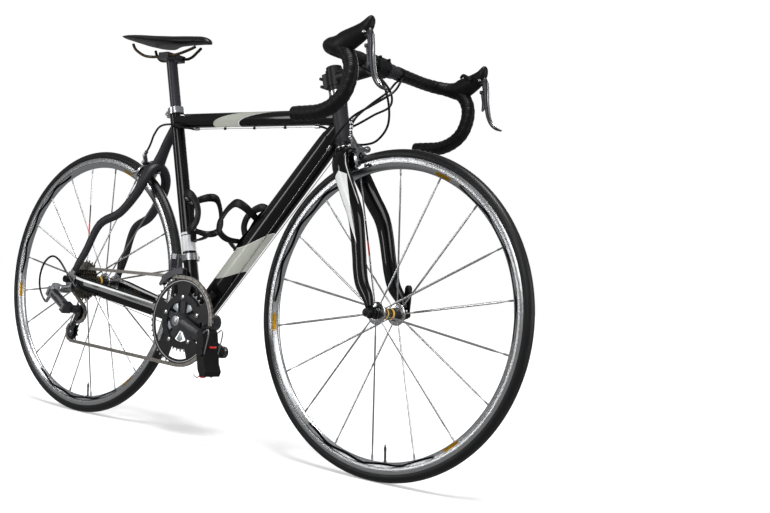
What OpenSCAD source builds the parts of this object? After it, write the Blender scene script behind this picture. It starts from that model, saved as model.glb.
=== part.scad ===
// Road racing bicycle, modelled as an assembly of its separate pieces.
// +X points forward, +Y to the rider's left, +Z up. The origin is on the ground,
// on the centre plane, half-way between the two axles.

/* [Overall layout] */
// Distance between the two axles
wheelbase = 950; // [900:5:1140]
// Outer radius of the inflated tyre
wheel_r = 334; // [280:1:400]
// Height of the bottom bracket below the axles
bb_drop = 68; // [56:1:80]
// Horizontal distance from the rear axle to the bottom bracket
rear_centre = 400; // [390:1:440]
// Seat tube angle from the horizontal, degrees
seat_angle = 73.9; // [72:0.1:75]
// Steering axis angle from the horizontal, degrees
head_angle = 73.5; // [72:0.1:75]
// Offset of the front axle from the steering axis
fork_rake = 50; // [40:1:56]
// Length along the steering axis from the axle's level to the crown race
fork_len = 366; // [360:1:440]
// Length of the head tube
head_len = 96; // [80:1:140]
// Height of the top of the seat tube above the bottom bracket, along the tube
seat_tube_len = 524; // [480:1:600]
// Distance of the top tube's axis below the top of the seat tube
top_tube_drop = 29; // [26:1:60]
// Distance of the top tube's axis above the lower end of the head tube
top_tube_seat = 62; // [58:1:74]

/* [Frame tubes] */
// Outer radius of the seat tube
seat_tube_r = 16.5; // [16:0.1:18]
// Outer radius of the top tube
top_tube_r = 17; // [13:0.1:19]
// Depth of the down tube, in the frame's plane
down_tube_d = 56; // [46:1:60]
// Width of the down tube, across the frame
down_tube_w = 42; // [34:1:46]
// Outer radius of the head tube
head_tube_r = 18.5; // [18:0.1:20]
// Outer radius of the bottom bracket shell
bb_r = 22; // [20:0.1:25]
// Width of the bottom bracket shell
bb_w = 68; // [60:1:72]
// Wall of the frame tubes
tube_wall = 1.6; // [1:0.1:3]
// Radius of the fork's steerer
steerer_r = 14.3; // [13:0.1:15]

/* [Seat] */
// Radius of the seatpost
post_r = 13.6; // [12:0.1:14]
// Height of the saddle clamp above the top of the seat tube, along the post
post_out = 132; // [80:1:180]
// Length of the post inside the seat tube
post_in = 100; // [60:1:160]
// Length of the saddle
saddle_len = 270; // [240:1:300]
// Width of the saddle at its tail
saddle_w = 136; // [120:1:160]

/* [Wheels] */
// Width of the tyre
tyre_w = 23.4; // [20:0.2:28]
// Width of the rim at its brake track
rim_w = 19.5; // [17:0.1:21]
// Depth of the rim
rim_depth = 24; // [16:1:40]
// Spokes in the front wheel
front_spoke_n = 18; // [12:2:32]
// Spokes in the rear wheel
rear_spoke_n = 20; // [16:2:32]
// Radius of a spoke
spoke_r = 1; // [0.8:0.1:1.2]
// Radius of the hub flanges
flange_r = 23; // [18:1:26]
// Width between the front dropouts
front_old = 100; // [90:1:110]
// Width between the rear dropouts
rear_old = 130; // [126:1:135]
// Radius of the wheel axles
axle_r = 5; // [4.5:0.1:6]
// Thickness of every dropout
dropout_t = 6; // [4:0.5:8]

/* [Drivetrain] */
// Teeth on the outer chainring
ring_outer_n = 50; // [46:1:53]
// Teeth on the inner chainring
ring_inner_n = 34; // [33:1:36]
// Teeth on each derailleur pulley
pulley_n = 11; // [10:1:11]
// Length of a crank arm, axle to pedal axle
crank_len = 172.5; // [165:2.5:180]
// Angle of the right crank arm above the forward horizontal, degrees
crank_angle = -18; // [-90:1:90]
// Radius of the crank axle
crank_axle_r = 12; // [11:0.1:13]
// Distance of the chain's centre line from the centre plane
chain_y = 46.5; // [44:0.1:48]
// Distance between two neighbouring sprockets
cog_gap = 4.15; // [3.9:0.05:4.3]
// Length of the rear derailleur's parallelogram links
rd_link = 62; // [50:1:70]

/* [Steering and brakes] */
// Length of the stem, from the steerer to the handlebar
stem_len = 115; // [90:1:130]
// Half the width of the handlebar, between the centres of its drops
bar_half = 204; // [190:1:220]
// Radius of the handlebar in the stem's clamp
bar_clamp_r = 15.9; // [13:0.1:16]
// Radius of the handlebar outside the clamp
bar_r = 11.9; // [11:0.1:12.5]
// Thickness of the wound bar tape
tape_t = 2.8; // [2:0.1:4]
// Distance from a brake's centre bolt to its pads
brake_reach = 43; // [39:1:57]

/* [Fits] */
// Radial clearance of a running fit
run = 0.05; // [0.02:0.01:0.1]
// Clearance between curved pieces that only lie on each other
lie = 0.3; // [0.2:0.05:0.5]

/* [Hidden] */
$fn = 48;
pitch = 12.7; // of the chain
ring_bolt_r = 55; // the rings' bolt circle

// --- places in the frame ----------------------------------------------------------------------
rear_axle_p = [-wheelbase / 2, 0, wheel_r];
front_axle_p = [wheelbase / 2, 0, wheel_r];
bb_p = [rear_axle_p.x + rear_centre, 0, wheel_r - bb_drop];
seat_dir = [-cos(seat_angle), 0, sin(seat_angle)];
head_dir = [-cos(head_angle), 0, sin(head_angle)];
head_fwd = [sin(head_angle), 0, cos(head_angle)];
seat_top = bb_p + seat_tube_len * seat_dir;
crown_p = front_axle_p - fork_rake * head_fwd + fork_len * head_dir;
cup_h = 8;
head_low = crown_p + cup_h * head_dir;
head_high = head_low + head_len * head_dir;
tt_rear = bb_p + (seat_tube_len - top_tube_drop) * seat_dir;
tt_front = head_low + top_tube_seat * head_dir;
dt_front = head_low + 42 * head_dir;
tt_dir = (tt_front - tt_rear) / norm(tt_front - tt_rear);
dt_dir = (dt_front - bb_p) / norm(dt_front - bb_p);
tt_down = [tt_dir.z, 0, -tt_dir.x];
dt_up = [-dt_dir.z, 0, dt_dir.x];
dt_tilt = atan2(dt_dir.z, dt_dir.x);
seat_fwd = [seat_dir.z, 0, -seat_dir.x];
stem_seat = head_high + 52 * head_dir;
stem_dir = [cos(10.5), 0, sin(10.5)];
bar_p = stem_seat + stem_len * stem_dir;

// --- wheels -----------------------------------------------------------------------------------
tyre_r = tyre_w / 2;
tyre_ring = wheel_r - tyre_r;
rim_top = wheel_r - 17;
rim_low = rim_top - rim_depth;
track_r = rim_top - 6;
front_flange_y = 33;
rear_flange_left = 38;
rear_flange_right = 17;

// --- drivetrain -------------------------------------------------------------------------------
function pitch_r(n) = pitch / 2 / sin(180 / n);
cogs = [12, 13, 14, 15, 16, 17, 19, 21, 23, 25];
chain_cog = 3;
cog_t = 1.6;
ring_t = 1.9;
ring_drop = 7.2;
rd_tilt = 28.6;
rd_x = [cos(rd_tilt), 0, -sin(rd_tilt)];
hanger_p = rear_axle_p + [-4, 0, -26];
rd_rear = rear_axle_p + [-45, -80, -39];
rd_front = rd_rear + rd_link * rd_x;
rd_pivot = [rd_front.x + 13, 0, rd_front.z - 5];
guide_p = [rear_axle_p.x + 25, -chain_y, rear_axle_p.z - 82];
tension_p = [rear_axle_p.x + 4, -chain_y, rear_axle_p.z - 132];
pedal_out = 72.8;
pedal_p = bb_p + crank_len * [cos(crank_angle), 0, sin(crank_angle)];
pedal_left_p = bb_p - crank_len * [cos(crank_angle), 0, sin(crank_angle)];

// --- brakes: each sits in its own frame, +Z away from the axle, +X away from the frame --
front_brake_x = 24;
front_brake_p = front_axle_p - front_brake_x * head_fwd
  + sqrt(track_r * track_r - front_brake_x * front_brake_x) * head_dir
  + brake_reach * head_dir;
rear_brake_a = 56.2;
rear_brake_dir = [cos(rear_brake_a), 0, sin(rear_brake_a)];
rear_brake_p = rear_axle_p + (track_r + brake_reach) * rear_brake_dir;

// --- general shapes ---------------------------------------------------------------------------
function unit(v) = v / norm(v);
// Catmull-Rom curve through the stations p, each cut into m steps
function bent(p0, p1, p2, p3, t) = 0.5 * (2 * p1 + (p2 - p0) * t
  + (2 * p0 - 5 * p1 + 4 * p2 - p3) * t * t + (3 * p1 - p0 - 3 * p2 + p3) * t * t * t);
function smooth(p, m) = concat(
  [for (i = [0:len(p) - 2], k = [0:m - 1])
    bent(p[max(i - 1, 0)], p[i], p[i + 1], p[min(i + 2, len(p) - 1)], k / m)],
  [p[len(p) - 1]]);
function place(s) = [s[0], s[1], s[2]];
function tangents(p) = [for (i = [0:len(p) - 1])
  unit(p[min(i + 1, len(p) - 1)] - p[max(i - 1, 0)])];
function carried(t, i, n) = i == len(t) ? []
  : let (m = unit(n - (n * t[i]) * t[i])) concat([m], carried(t, i + 1, m));

// Sweeps an ellipse along stations [x, y, z, a, b]: a lies along ref, b across it
module loft(s, sides, ref) {
  p = [for (q = s) place(q)];
  t = tangents(p);
  n = carried(t, 0, ref);
  last = len(p) - 1;
  polyhedron(
    points = [for (i = [0:last], k = [0:sides - 1])
      let (a = 360 * k / sides)
        p[i] + s[i][3] * cos(a) * n[i] + s[i][4] * sin(a) * cross(t[i], n[i])],
    faces = concat(
      [[for (k = [0:sides - 1]) k]],
      [for (i = [0:last - 1], k = [0:sides - 1])
        let (m = (k + 1) % sides)
          [i * sides + k, (i + 1) * sides + k, (i + 1) * sides + m, i * sides + m]],
      [[for (k = [sides - 1:-1:0]) last * sides + k]]));
}

// Sweeps a round cord of radius r through the hand-placed points p
module cord(p, r, ref, m = 4) {
  loft([for (q = smooth(p, m)) [q.x, q.y, q.z, r, r]], 8, ref);
}

// Puts its children's +Z along the line from a to b
module along(a, b) {
  d = b - a;
  translate(a) rotate([0, acos(d.z / norm(d)), atan2(d.y, d.x)]) children();
}

module rod(a, b, r) {
  along(a, b) cylinder(h = norm(b - a), r = r);
}

// Cylinder along Y from y0 to y1 at the place p
module pin_y(p, y0, y1, r) {
  translate([p.x, y1, p.z]) rotate([90, 0, 0]) cylinder(h = y1 - y0, r = r);
}

// Flat plate across Y from y0 to y1, its outline drawn in X and Z
module plate_y(y0, y1) {
  translate([0, y1, 0]) rotate([90, 0, 0]) linear_extrude(y1 - y0) children();
}

// Bar with round ends, from a to b in its own plane, w wide
module capsule(a, b, w) {
  d = b - a;
  t = atan2(d.y, d.x);
  steps = 12;
  polygon(concat(
    [for (i = [0:steps]) let (u = t + 90 + 180 * i / steps) a + w / 2 * [cos(u), sin(u)]],
    [for (i = [0:steps]) let (u = t - 90 + 180 * i / steps) b + w / 2 * [cos(u), sin(u)]]));
}

module flip_y(on) {
  if (on) mirror([0, 1, 0]) children();
  else children();
}

// Ring cut out of a plane, from angle a0 to a1
module ring_sector(r0, r1, a0, a1) {
  steps = 24;
  polygon(concat(
    [for (i = [0:steps]) let (a = a0 + (a1 - a0) * i / steps) r1 * [cos(a), sin(a)]],
    [for (i = [steps:-1:0]) let (a = a0 + (a1 - a0) * i / steps) r0 * [cos(a), sin(a)]]));
}

// Toothed outline for n teeth of the chain's pitch
function gear_points(n) = [for (i = [0:n - 1], k = [0:3])
  let (r = pitch_r(n) + [-3.4, 2.0, 2.0, -3.4][k], a = 360 * (i + [0.27, 0.43, 0.57, 0.73][k]) / n)
  r * [cos(a), sin(a)]];

// --- frame ------------------------------------------------------------------------------------
module seat_tube_solid(r) {
  rod(bb_p, seat_top, r);
}

module head_tube_solid(r) {
  rod(head_low, head_high, r);
}

module down_tube_section(w, d) {
  capsule([-(d - w) / 2, 0], [(d - w) / 2, 0], w);
}

module down_tube_solid(w, d) {
  along(bb_p, dt_front) linear_extrude(norm(dt_front - bb_p)) down_tube_section(w, d);
}

module top_tube() {
  color("#16171a") difference() {
    rod(tt_rear + 6 * tt_dir, tt_front, top_tube_r);
    rod(tt_rear, tt_front + 10 * tt_dir, top_tube_r - tube_wall);
    seat_tube_solid(seat_tube_r);
    head_tube_solid(head_tube_r);
  }
}

module down_tube() {
  color("#141517") difference() {
    down_tube_solid(down_tube_w, down_tube_d);
    down_tube_solid(down_tube_w - 2 * tube_wall, down_tube_d - 2 * tube_wall);
    pin_y(bb_p, -bb_w, bb_w, bb_r);
    rod(bb_p, seat_top, seat_tube_r);
    rod(tt_rear, tt_front + 10 * tt_dir, top_tube_r);
    rod(head_low - 20 * head_dir, head_high, head_tube_r);
    rod(crown_p - 9 * head_dir, head_low, head_tube_r + 1 + lie);
  }
}

module seat_tube() {
  color("#141517") difference() {
    rod(bb_p, seat_top, seat_tube_r);
    rod(bb_p, seat_top + seat_dir, post_r + run);
    pin_y(bb_p, -bb_w, bb_w, bb_r);
    translate(seat_top) rotate([0, seat_angle - 90, 0])
      translate([-seat_tube_r - 2, -1, -32]) cube([8, 2, 40]);
  }
}

module head_tube() {
  color("#141517") difference() {
    head_tube_solid(head_tube_r);
    rod(head_low - head_dir, head_high + head_dir, head_tube_r - tube_wall);
  }
}

module bottom_bracket_shell() {
  color("#17181a") difference() {
    pin_y(bb_p, -bb_w / 2, bb_w / 2, bb_r);
    pin_y(bb_p, -bb_w, bb_w, bb_r - 4);
  }
}

// One chain stay, on the right-hand side, with its dropout
module chain_stay(hanger) {
  a = rear_axle_p;
  side = rear_old / 2 + dropout_t / 2;
  difference() {
    union() {
      difference() {
        loft(smooth([
          [bb_p.x - 12, -24, bb_p.z + 2, 7, 17],
          [bb_p.x - 70, -26, bb_p.z + 12, 7, 17],
          [bb_p.x - 160, -37, bb_p.z + 27, 8, 17],
          [a.x + 130, -55, a.z - 22, 8, 17],
          [a.x + 56, -side - 1, a.z - 10, 7, 18],
          [a.x + 22, -side - 1, a.z - 5, 4, 18]], 4), 16, [0, 1, 0]);
        pin_y(bb_p, -bb_w, bb_w, bb_r);
      }
      plate_y(-rear_old / 2 - dropout_t, -rear_old / 2) {
        translate([a.x, a.z]) circle(r = 17);
        capsule([a.x, a.z + 2], [a.x + 44, a.z - 8], 26);
        capsule([a.x, a.z], [a.x + 16, a.z + 26], 16);
        if (hanger) capsule([a.x, a.z], [hanger_p.x, hanger_p.z], 20);
      }
    }
    plate_y(-rear_old, -rear_old / 2 + 1)
      capsule([a.x, a.z], [a.x + 12, a.z - 60], 2 * (axle_r + 0.15));
    pin_y(hanger_p, -rear_old, 0, 5 + run);
  }
}

module chain_stays() {
  color("#17181b") {
    chain_stay(true);
    flip_y(true) chain_stay(false);
  }
}

// The two seat stays pass beside the tyre, meet above it and reach the seat tube as one neck
module seat_stays() {
  a = rear_axle_p;
  top = a + (wheel_r + 27) * unit(rear_brake_p - a) + [7, 0, -3];
  side = [
    [a.x + 19, -rear_old / 2 - 3.5, a.z + 26, 6, 11],
    [a.x + 45, -62, a.z + 75, 7, 11],
    [top.x - 130, -54, a.z + 143, 8, 11],
    [top.x - 66, -47, top.z - 122, 9, 11],
    [top.x - 20, -40, top.z - 72, 10, 12],
    [top.x - 4, -34, top.z - 35, 11, 14],
    [top.x, -20, top.z - 9, 11, 16]];
  joint = bb_p + (seat_tube_len - top_tube_drop - 16) * seat_dir;
  color("#141517") difference() {
    union() {
      loft(smooth(concat(side, [[top.x + 1, 0, top.z + 1, 10, 17]],
        [for (i = [len(side) - 1:-1:0]) [side[i][0], -side[i][1], side[i][2], side[i][3], side[i][4]]]), 3),
        14, [0, 1, 0]);
      loft(smooth([
        [top.x - 2, 0, top.z - 2, 17, 16],
        [top.x + 14, 0, top.z + 30, 13, 13],
        [joint.x - 30, 0, joint.z - 34, 12, 12],
        [joint.x - 6, 0, joint.z + 2, 12, 13]], 3), 16, [0, 1, 0]);
    }
    seat_tube_solid(seat_tube_r);
    rod(rear_brake_p - 60 * [-rear_brake_dir.z, 0, rear_brake_dir.x],
      rear_brake_p + 40 * [-rear_brake_dir.z, 0, rear_brake_dir.x], 4 + lie);
    translate(rear_brake_p) rotate([0, 90 - rear_brake_a, 0]) mirror([1, 0, 0])
      translate([2, -40, -20]) cube([60, 80, 60]);
    pin_y(a, -rear_old, rear_old, 40);
  }
}

// Headset cups in the head tube and bearing cups in the bottom bracket shell
module bearing_cups() {
  color("#2a2b2e") {
    difference() {
      union() {
        rod(crown_p, head_low, head_tube_r + 1);
        rod(head_low, head_low + 10 * head_dir, head_tube_r - tube_wall - 0.02);
      }
      rod(crown_p - head_dir, head_low + 20 * head_dir, steerer_r + run);
    }
    difference() {
      union() {
        rod(head_high, head_high + 12 * head_dir, head_tube_r + 1);
        rod(head_high - 10 * head_dir, head_high, head_tube_r - tube_wall - 0.02);
      }
      rod(head_high - 20 * head_dir, head_high + 20 * head_dir, steerer_r + run);
    }
    for (m = [0, 1]) flip_y(m == 1) difference() {
      union() {
        pin_y(bb_p, -bb_w / 2 - 6, -bb_w / 2, bb_r - 1);
        pin_y(bb_p, -bb_w / 2, -bb_w / 2 + 10, bb_r - 4.02);
      }
      pin_y(bb_p, -bb_w, 0, crank_axle_r + run);
    }
  }
}

// --- front derailleur -------------------------------------------------------------------------
fd_p = bb_p + 153 * seat_dir;
fd_pin = [fd_p.x, ring_drop / 2 - chain_y, fd_p.z];
fd_r = pitch_r(ring_outer_n) + 6.4;

module front_derailleur() {
  color("#b9bcbf") {
    difference() {
      union() {
        rod(fd_p - 8 * seat_dir, fd_p + 8 * seat_dir, seat_tube_r + 3);
        translate([fd_p.x - 7, fd_pin.y - 6, fd_p.z - 6]) cube([14, -12 - fd_pin.y, 12]);
        translate([fd_p.x - 5, seat_tube_r, fd_p.z - 6]) cube([10, 9, 12]);
      }
      rod(fd_p - 20 * seat_dir, fd_p + 20 * seat_dir, seat_tube_r + lie);
      rod(fd_pin - [20, 0, 0], fd_pin + [20, 0, 0], 2.5);
    }
    rod(fd_pin - [16, 0, 0], fd_pin + [16, 0, 0], 2.5);
  }
}

module fd_plate(r1) {
  translate([bb_p.x, bb_p.z]) ring_sector(fd_r, r1, 92, 128);
  translate([bb_p.x, bb_p.z]) rotate(128) translate([fd_r, 0])
    capsule([6, 0], [3, 10], 10);
}

module fd_cage() {
  tail = bb_p + (fd_r + 3.4) * [cos(133), 0, sin(133)];
  top_z = bb_p.z + (fd_r + 13);
  color("#55585c") {
    difference() {
      union() {
        plate_y(-chain_y - 6.4, -chain_y - 4.8) fd_plate(fd_r + 15);
        plate_y(-chain_y + 4.8, -chain_y + 6.4) fd_plate(fd_r + 15);
        translate([bb_p.x - 44, -chain_y - 6.4, top_z - 3]) cube([30, 12.8, 2.4]);
        pin_y(tail, -chain_y - 6.4, -chain_y + 6.4, 2.6);
        for (x = [-14.5, 9.5])
          translate([fd_p.x + x, fd_pin.y - 3.5, bb_p.z + fd_r + 2])
            cube([5, 7, fd_p.z - bb_p.z - fd_r + 2]);
        translate([fd_p.x - 14.5, fd_pin.y - 3.5, bb_p.z + fd_r + 2])
          cube([29, 9.9 - chain_y - fd_pin.y, 3]);
      }
      rod(fd_pin - [30, 0, 0], fd_pin + [30, 0, 0], 2.5 + run);
    }
  }
}

// --- small fittings of the frame --------------------------------------------------------------
stop_r = 3.2;
stop_reach = down_tube_w / 2 + stop_r + 0.2;
stop_turn = 50;
dt_stop_y = stop_reach * sin(stop_turn);
dt_stop_p = dt_front - 52 * dt_dir
  - ((down_tube_d - down_tube_w) / 2 + stop_reach * cos(stop_turn)) * dt_up;
tt_stops = [tt_front - 62 * tt_dir, tt_rear + 74 * tt_dir];
tt_stop_drop = top_tube_r + stop_r + 0.2;
cage_bolt_gap = 64;
seat_cage_p = bb_p + 250 * seat_dir;
down_cage_p = bb_p + 262 * dt_dir;

module cable_stop(a, dir) {
  difference() {
    rod(a, a + 12 * dir, stop_r);
    rod(a - dir, a + 13 * dir, 1.2);
  }
}

module frame_fittings() {
  color("#b4b7ba") {
    // seat collar and its bolt
    difference() {
      union() {
        rod(seat_top - 13 * seat_dir, seat_top + 3 * seat_dir, seat_tube_r + 4);
        translate(seat_top - 5 * seat_dir) rotate([0, seat_angle - 90, 0])
          translate([-seat_tube_r - 11, -8, -8]) cube([9, 16, 16]);
      }
      rod(seat_top - 20 * seat_dir, seat_top, seat_tube_r + lie);
      rod(seat_top - 20 * seat_dir, seat_top + 9 * seat_dir, post_r + 0.4);
      translate(seat_top - 5 * seat_dir) rotate([0, seat_angle - 90, 0])
        translate([-seat_tube_r - 14, -1, -30]) cube([16, 2, 60]);
      pin_y(seat_top - 5 * seat_dir - (seat_tube_r + 7) * seat_fwd, -20, 20, 2.6);
    }
    pin_y(seat_top - 5 * seat_dir - (seat_tube_r + 7) * seat_fwd, -8.2, 8, 2.5);
    pin_y(seat_top - 5 * seat_dir - (seat_tube_r + 7) * seat_fwd, -12, -8.2, 4.2);
    // stops for the bare cables
    for (m = [-1, 1]) cable_stop([dt_stop_p.x, m * dt_stop_y, dt_stop_p.z], dt_dir);
    for (q = tt_stops) cable_stop(q + tt_stop_drop * tt_down - 6 * tt_dir, tt_dir);
    // guide under the bottom bracket
    translate([bb_p.x - 14, -13, bb_p.z - bb_r - 4.4]) cube([28, 26, 4]);
    // bottle cage bolts
    for (k = [-1, 1]) {
      rod(seat_cage_p + k * cage_bolt_gap / 2 * seat_dir + seat_tube_r * seat_fwd,
        seat_cage_p + k * cage_bolt_gap / 2 * seat_dir + (seat_tube_r + 4) * seat_fwd, 2.4);
      rod(seat_cage_p + k * cage_bolt_gap / 2 * seat_dir + (seat_tube_r + 4) * seat_fwd,
        seat_cage_p + k * cage_bolt_gap / 2 * seat_dir + (seat_tube_r + 7) * seat_fwd, 4.2);
      rod(down_cage_p + k * cage_bolt_gap / 2 * dt_dir + down_tube_d / 2 * dt_up,
        down_cage_p + k * cage_bolt_gap / 2 * dt_dir + (down_tube_d / 2 + 4) * dt_up, 2.4);
      rod(down_cage_p + k * cage_bolt_gap / 2 * dt_dir + (down_tube_d / 2 + 4) * dt_up,
        down_cage_p + k * cage_bolt_gap / 2 * dt_dir + (down_tube_d / 2 + 7) * dt_up, 4.2);
    }
    // centre bolt and bridge of the rear brake
    rear_brake_frame() brake_mount(24);
  }
}

// --- bottle cages: drawn with +Z along the tube and +X away from it ---------------------------
bottle_r = 37;

module bottle_band(z, tilt) {
  translate([bottle_r + 6, 0, z]) rotate([0, tilt, 0]) difference() {
    cylinder(h = 12, r = bottle_r + 5.5, center = true);
    cylinder(h = 14, r = bottle_r + 3, center = true);
    translate([-bottle_r - 8, 0, 0]) cube([24, 30, 40], center = true);
  }
}

module bottle_cage() {
  difference() {
    union() {
      translate([0.3, -9, -62]) cube([3.4, 18, 128]);
      translate([0.3, -13, 34]) cube([3.4, 26, 14]);
      translate([0.3, -13, -32]) cube([3.4, 26, 14]);
      translate([2, -9, -62]) cube([44, 18, 3]);
      bottle_band(32, 24);
      bottle_band(-22, -20);
      for (m = [-1, 1]) {
        translate([0.3, m > 0 ? 10 : -18, 26]) cube([8, 8, 20]);
        translate([0.3, m > 0 ? 10 : -18, -32]) cube([8, 8, 20]);
      }
    }
    for (k = [-1, 1]) translate([-1, 0, k * cage_bolt_gap / 2]) rotate([0, 90, 0])
      cylinder(h = 9, r = 2.6);
  }
}

module bottle_cages() {
  color("#18191b") {
    translate(seat_cage_p + seat_tube_r * seat_fwd) rotate([0, seat_angle - 90, 0]) bottle_cage();
    translate(down_cage_p + down_tube_d / 2 * dt_up) rotate([0, 90 - dt_tilt, 0]) mirror([1, 0, 0])
      bottle_cage();
  }
}

// --- chain: runs over the circles [centre, signed radius], clockwise ones positive ------------
chain_loop = [
  [[bb_p.x, bb_p.z], pitch_r(ring_outer_n)],
  [[tension_p.x, tension_p.z], pitch_r(pulley_n)],
  [[guide_p.x, guide_p.z], -pitch_r(pulley_n)],
  [[rear_axle_p.x, rear_axle_p.z], pitch_r(cogs[chain_cog])]];
function next_of(i) = (i + 1) % len(chain_loop);
function before(i) = (i + len(chain_loop) - 1) % len(chain_loop);
function heading(i) = let (a = chain_loop[i], b = chain_loop[next_of(i)], d = b[0] - a[0])
  atan2(d.y, d.x) + asin((b[1] - a[1]) / norm(d));
function turn(i) = let (t = heading(i) - heading(before(i)), r = chain_loop[i][1])
  r > 0 ? t - 360 * ceil(t / 360) : t - 360 * floor(t / 360);
function loop_points(w) = [for (i = [0:len(chain_loop) - 1], k = [0:12])
  let (a = heading(before(i)) + 90 + turn(i) * k / 12, c = chain_loop[i])
  c[0] + (c[1] + w) * [cos(a), sin(a)]];
function leaves(i) = chain_loop[i][0] + chain_loop[i][1] * [cos(heading(i) + 90), sin(heading(i) + 90)];
function arrives(i) = let (b = chain_loop[next_of(i)])
  b[0] + b[1] * [cos(heading(i) + 90), sin(heading(i) + 90)];

module chain() {
  color("#6d6a63") {
    for (y = [[-2.9, -1.2], [1.2, 2.9]])
      plate_y(y[0] - chain_y, y[1] - chain_y) difference() {
        polygon(loop_points(4));
        polygon(loop_points(-4));
      }
    for (i = [0, 3]) let (a = leaves(i), b = arrives(i), n = floor(norm(b - a) / pitch))
      for (k = [3:n - 3]) let (q = a + k * pitch * unit(b - a))
        pin_y([q.x, 0, q.y], -chain_y - 2, -chain_y + 2, 3.8);
  }
}

// --- cables held by the frame -----------------------------------------------------------------
guide_z = bb_p.z - bb_r - 5.3;
guide_y = 8;
stay_stop = [rear_axle_p.x + 108, -68.6, rear_axle_p.z - 32];
stay_stop_dir = unit([-30, -3, 3]);

module rear_cables() {
  bare = 0.8;
  color("#c2c4c6") {
    // rear brake: bare along the top tube, held off it by three rings
    p0 = tt_stops[0] + tt_stop_drop * tt_down - 6 * tt_dir;
    p1 = tt_stops[1] + tt_stop_drop * tt_down + 6 * tt_dir;
    rod(p0, p1, bare);
    // gear cables beside and under the down tube, then to the two derailleurs
    cord([[dt_stop_p.x, -dt_stop_y, dt_stop_p.z] - 0.2 * dt_dir, [bb_p.x + 14, -guide_y, guide_z],
      [bb_p.x - 14, -guide_y, guide_z], stay_stop - 0.3 * stay_stop_dir], bare, [0, 1, 0], 1);
    cord([[dt_stop_p.x, dt_stop_y, dt_stop_p.z] - 0.2 * dt_dir, [bb_p.x + 14, guide_y, guide_z],
      [bb_p.x - 14, guide_y, guide_z], [bb_p.x - 27, 5, bb_p.z - 18],
      [fd_p.x - 8, -24, fd_p.z - 7]], bare, [0, 1, 0], 1);
  }
  color("#101112") {
    p0 = tt_stops[0] + tt_stop_drop * tt_down;
    p1 = tt_stops[1] + tt_stop_drop * tt_down;
    for (k = [1:3]) let (q = p0 + (p1 - p0) * k / 4) difference() {
      rod(q - 2 * tt_dir, q + 2 * tt_dir, 3);
      rod(q - 4 * tt_dir, q + 4 * tt_dir, bare + 0.02);
    }
    // stop on the chain stay and housing to the rear derailleur
    rod(stay_stop, stay_stop + 9 * stay_stop_dir, 3.4);
    cord(gear_route, 2.4, [0, 1, 0], 3);
    cord(brake_route, 2.5, [0, 1, 0], 3);
  }
}
stay_stop_end = stay_stop + 9 * stay_stop_dir;
gear_route = [
  stay_stop_end, [-398, -76, 305], [-430, -84, 318], [-462, -89, 350], [-500, -88, 379],
  [-534, -86, 387], [-564, -84, 371], [-581, -82, 340], [-580, -81, 308], [-566, -80, 284],
  [-549, -80, 270]];
brake_route = [
  tt_stops[1] + tt_stop_drop * tt_down - 6.6 * tt_dir,
  tt_stops[1] + tt_stop_drop * tt_down - 12 * tt_dir + [0, -1, 0],
  [-158, -8, 722], [-176, -17, 723], [-204, -26, 729],
  [-236, -31, 724], [-254, -32, 704], [-262, -31.5, 687], [-268.6, -31, 674.6], [-274.9, -31, 665.2]];

// --- fork, steered ----------------------------------------------------------------------------
fork_side = [
  [-0.6, -front_old / 2 - 6, 13, 7, 9],
  [-10, -front_old / 2 - 6, 32, 7, 13],
  [-28, -front_old / 2 - 4, 56, 8, 16],
  [-38, -front_old / 2 - 2, 84, 9, 17],
  [-45, -front_old / 2, 112, 9, 17],
  [-57, -48, 160, 9, 18],
  [-70, -45, 196, 10, 19],
  [-92, -40, 230, 11, 20],
  [-112, -36, 262, 12, 20],
  [-132, -31, 294, 12, 21]];

module dropout_plate(p, old, up) {
  plate_y(-old / 2 - dropout_t, -old / 2) difference() {
    union() {
      translate([p.x, p.z]) circle(r = 12);
      capsule([p.x, p.z], [p.x + up.x, p.z + up.y], 17);
    }
    capsule([p.x, p.z], [p.x + 6, p.z - 40], 2 * (axle_r + 0.15));
  }
}

module fork() {
  a = front_axle_p;
  crown = crown_p - 13 * head_dir;
  side = concat([for (s = fork_side) [a.x + s[0], s[1], a.z + s[2], s[3], s[4]]],
    [[crown.x + 6, -20, crown.z - 7, 12, 22]]);
  color("#131416") {
    difference() {
      union() {
        loft(smooth(concat(side, [[crown.x, 0, crown.z, 11.5, 23]],
          [for (i = [len(side) - 1:-1:0]) let (q = side[i]) [q[0], -q[1], q[2], q[3], q[4]]]), 2),
          16, [0, 1, 0]);
        rod(crown, head_high + 70 * head_dir, steerer_r);
        rod(crown, crown_p - 0.1 * head_dir, head_tube_r);
      }
      rod(front_brake_p - 70 * head_fwd, front_brake_p + 30 * head_fwd, 4 + lie);
      rod(crown + 8 * head_dir, head_high + 90 * head_dir, steerer_r - 3);
      front_brake_frame() translate([-1.5, -14, -14]) cube([40, 28, 28]);
      pin_y(a, -front_old, front_old, 11);
    }
    for (m = [0, 1]) flip_y(m == 1) dropout_plate(a, front_old, [-8, 15]);
  }
}

module front_brake_frame() {
  translate(front_brake_p) rotate([0, head_angle - 90, 0]) children();
}

module rear_brake_frame() {
  translate(rear_brake_p) rotate([0, 90 - rear_brake_a, 0]) mirror([1, 0, 0]) children();
}

// --- stem and spacers -------------------------------------------------------------------------
module bar_clamp_cut(gap) {
  translate(bar_p) rotate([0, -10.5, 0]) translate([3 - gap / 2, -40, -40]) cube([gap, 80, 80]);
}

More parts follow.
